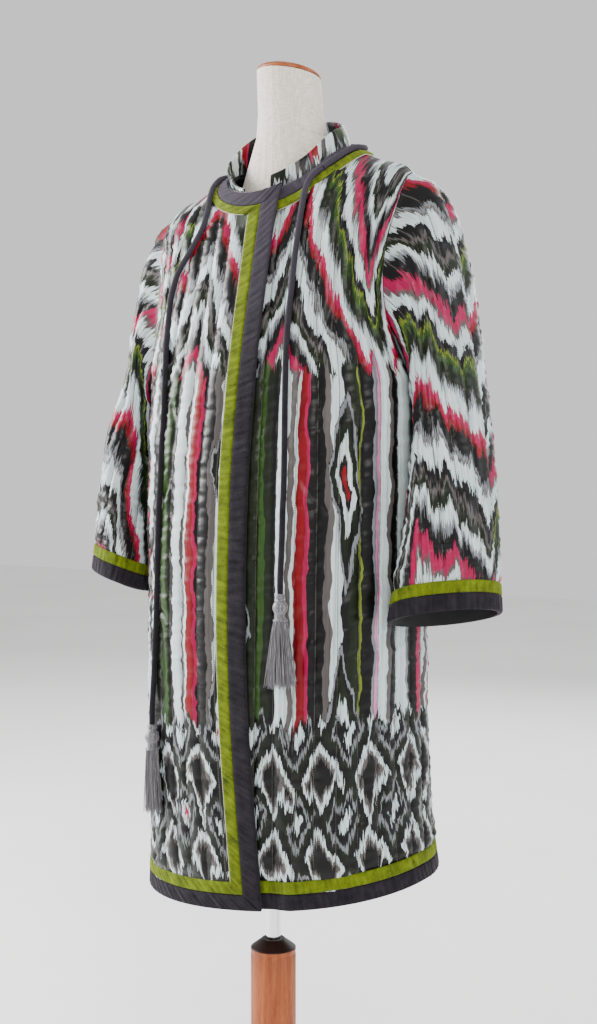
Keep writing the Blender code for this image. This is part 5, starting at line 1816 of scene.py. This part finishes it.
class COAT_OT_stage(bpy.types.Operator):
    """Set the pale floor, the soft daylight and the camera at the photograph's angle"""

    bl_idname = "coat.stage"
    bl_label = "Stage"

    def execute(self, context):
        bpy.ops.object.select_all(action="DESELECT")
        bpy.ops.mesh.primitive_plane_add(size=FLOOR_SIZE, location=(0.0, 0.0, -FLOOR_DROP))
        floor = bpy.context.object
        floor.name = "floor"
        floor.data.materials.append(material("painted_floor"))

        for name, place, toward, size, power, tint in LAMPS:
            lamp = bpy.data.lights.new(name, "AREA")
            lamp.shape = "SQUARE"
            lamp.size = size
            lamp.energy = power
            lamp.color = linear(tint)[:3]
            holder = bpy.data.objects.new(name, lamp)
            bpy.context.scene.collection.objects.link(holder)
            holder.location = place
            way = np.array(toward) - np.array(place)
            holder.rotation_euler = (math.atan2(math.hypot(way[0], way[1]), -way[2]), 0.0,
                                     math.atan2(-way[0], way[1]))
        world = bpy.data.worlds.new("studio")
        world.use_nodes = True
        background = world.node_tree.nodes["Background"]
        background.inputs["Color"].default_value = linear(SKY_TINT)
        background.inputs["Strength"].default_value = SKY_STRENGTH
        bpy.context.scene.world = world

        lens = bpy.data.cameras.new("camera")
        lens.sensor_fit = "VERTICAL"
        lens.sensor_height = SENSOR
        lens.lens = LENS
        lens.clip_start, lens.clip_end = CLIP
        camera = bpy.data.objects.new("camera", lens)
        bpy.context.scene.collection.objects.link(camera)
        turn = context.scene.coat_sizes.camera_azimuth
        reach = context.scene.coat_sizes.camera_distance
        camera.location = (reach * math.sin(turn), COAT_Y - reach * math.cos(turn), CAMERA_HEIGHT)
        camera.rotation_euler = (math.radians(90 + CAMERA_PITCH), 0.0, turn + math.radians(CAMERA_YAW))
        bpy.context.scene.camera = camera
        return {"FINISHED"}


OPERATORS = (COAT_OT_stage, COAT_OT_cords, COAT_OT_cloth, COAT_OT_form, COAT_OT_stand)


class COAT_PT_panel(bpy.types.Panel):
    """Lists the steps that make the coat and its form"""

    bl_label = "Coat"
    bl_idname = "COAT_PT_panel"
    bl_space_type = "VIEW_3D"
    bl_region_type = "UI"
    bl_category = "Coat"

    def draw(self, context):
        for step in OPERATORS:
            self.layout.operator(step.bl_idname)
        for group in (context.scene.coat_sizes, context.scene.coat_colours):
            box = self.layout.box()
            for name in group.__annotations__:
                box.prop(group, name)


CLASSES = (CoatColours, CoatSizes, *OPERATORS, COAT_PT_panel)


def register():
    """Make the classes known, and give the scene its settings."""
    for item in CLASSES:
        bpy.utils.register_class(item)
    bpy.types.Scene.coat_colours = bpy.props.PointerProperty(type=CoatColours)
    bpy.types.Scene.coat_sizes = bpy.props.PointerProperty(type=CoatSizes)


def unregister():
    """Undo what register does."""
    del bpy.types.Scene.coat_sizes
    del bpy.types.Scene.coat_colours
    for item in reversed(CLASSES):
        bpy.utils.unregister_class(item)


def main():
    """Make everything."""
    register()
    bpy.ops.coat.stage()
    bpy.ops.coat.cords()
    bpy.ops.coat.cloth()
    bpy.ops.coat.form()
    bpy.ops.coat.stand()
    bpy.context.view_layer.update()


if __name__ == "__main__":
    main()
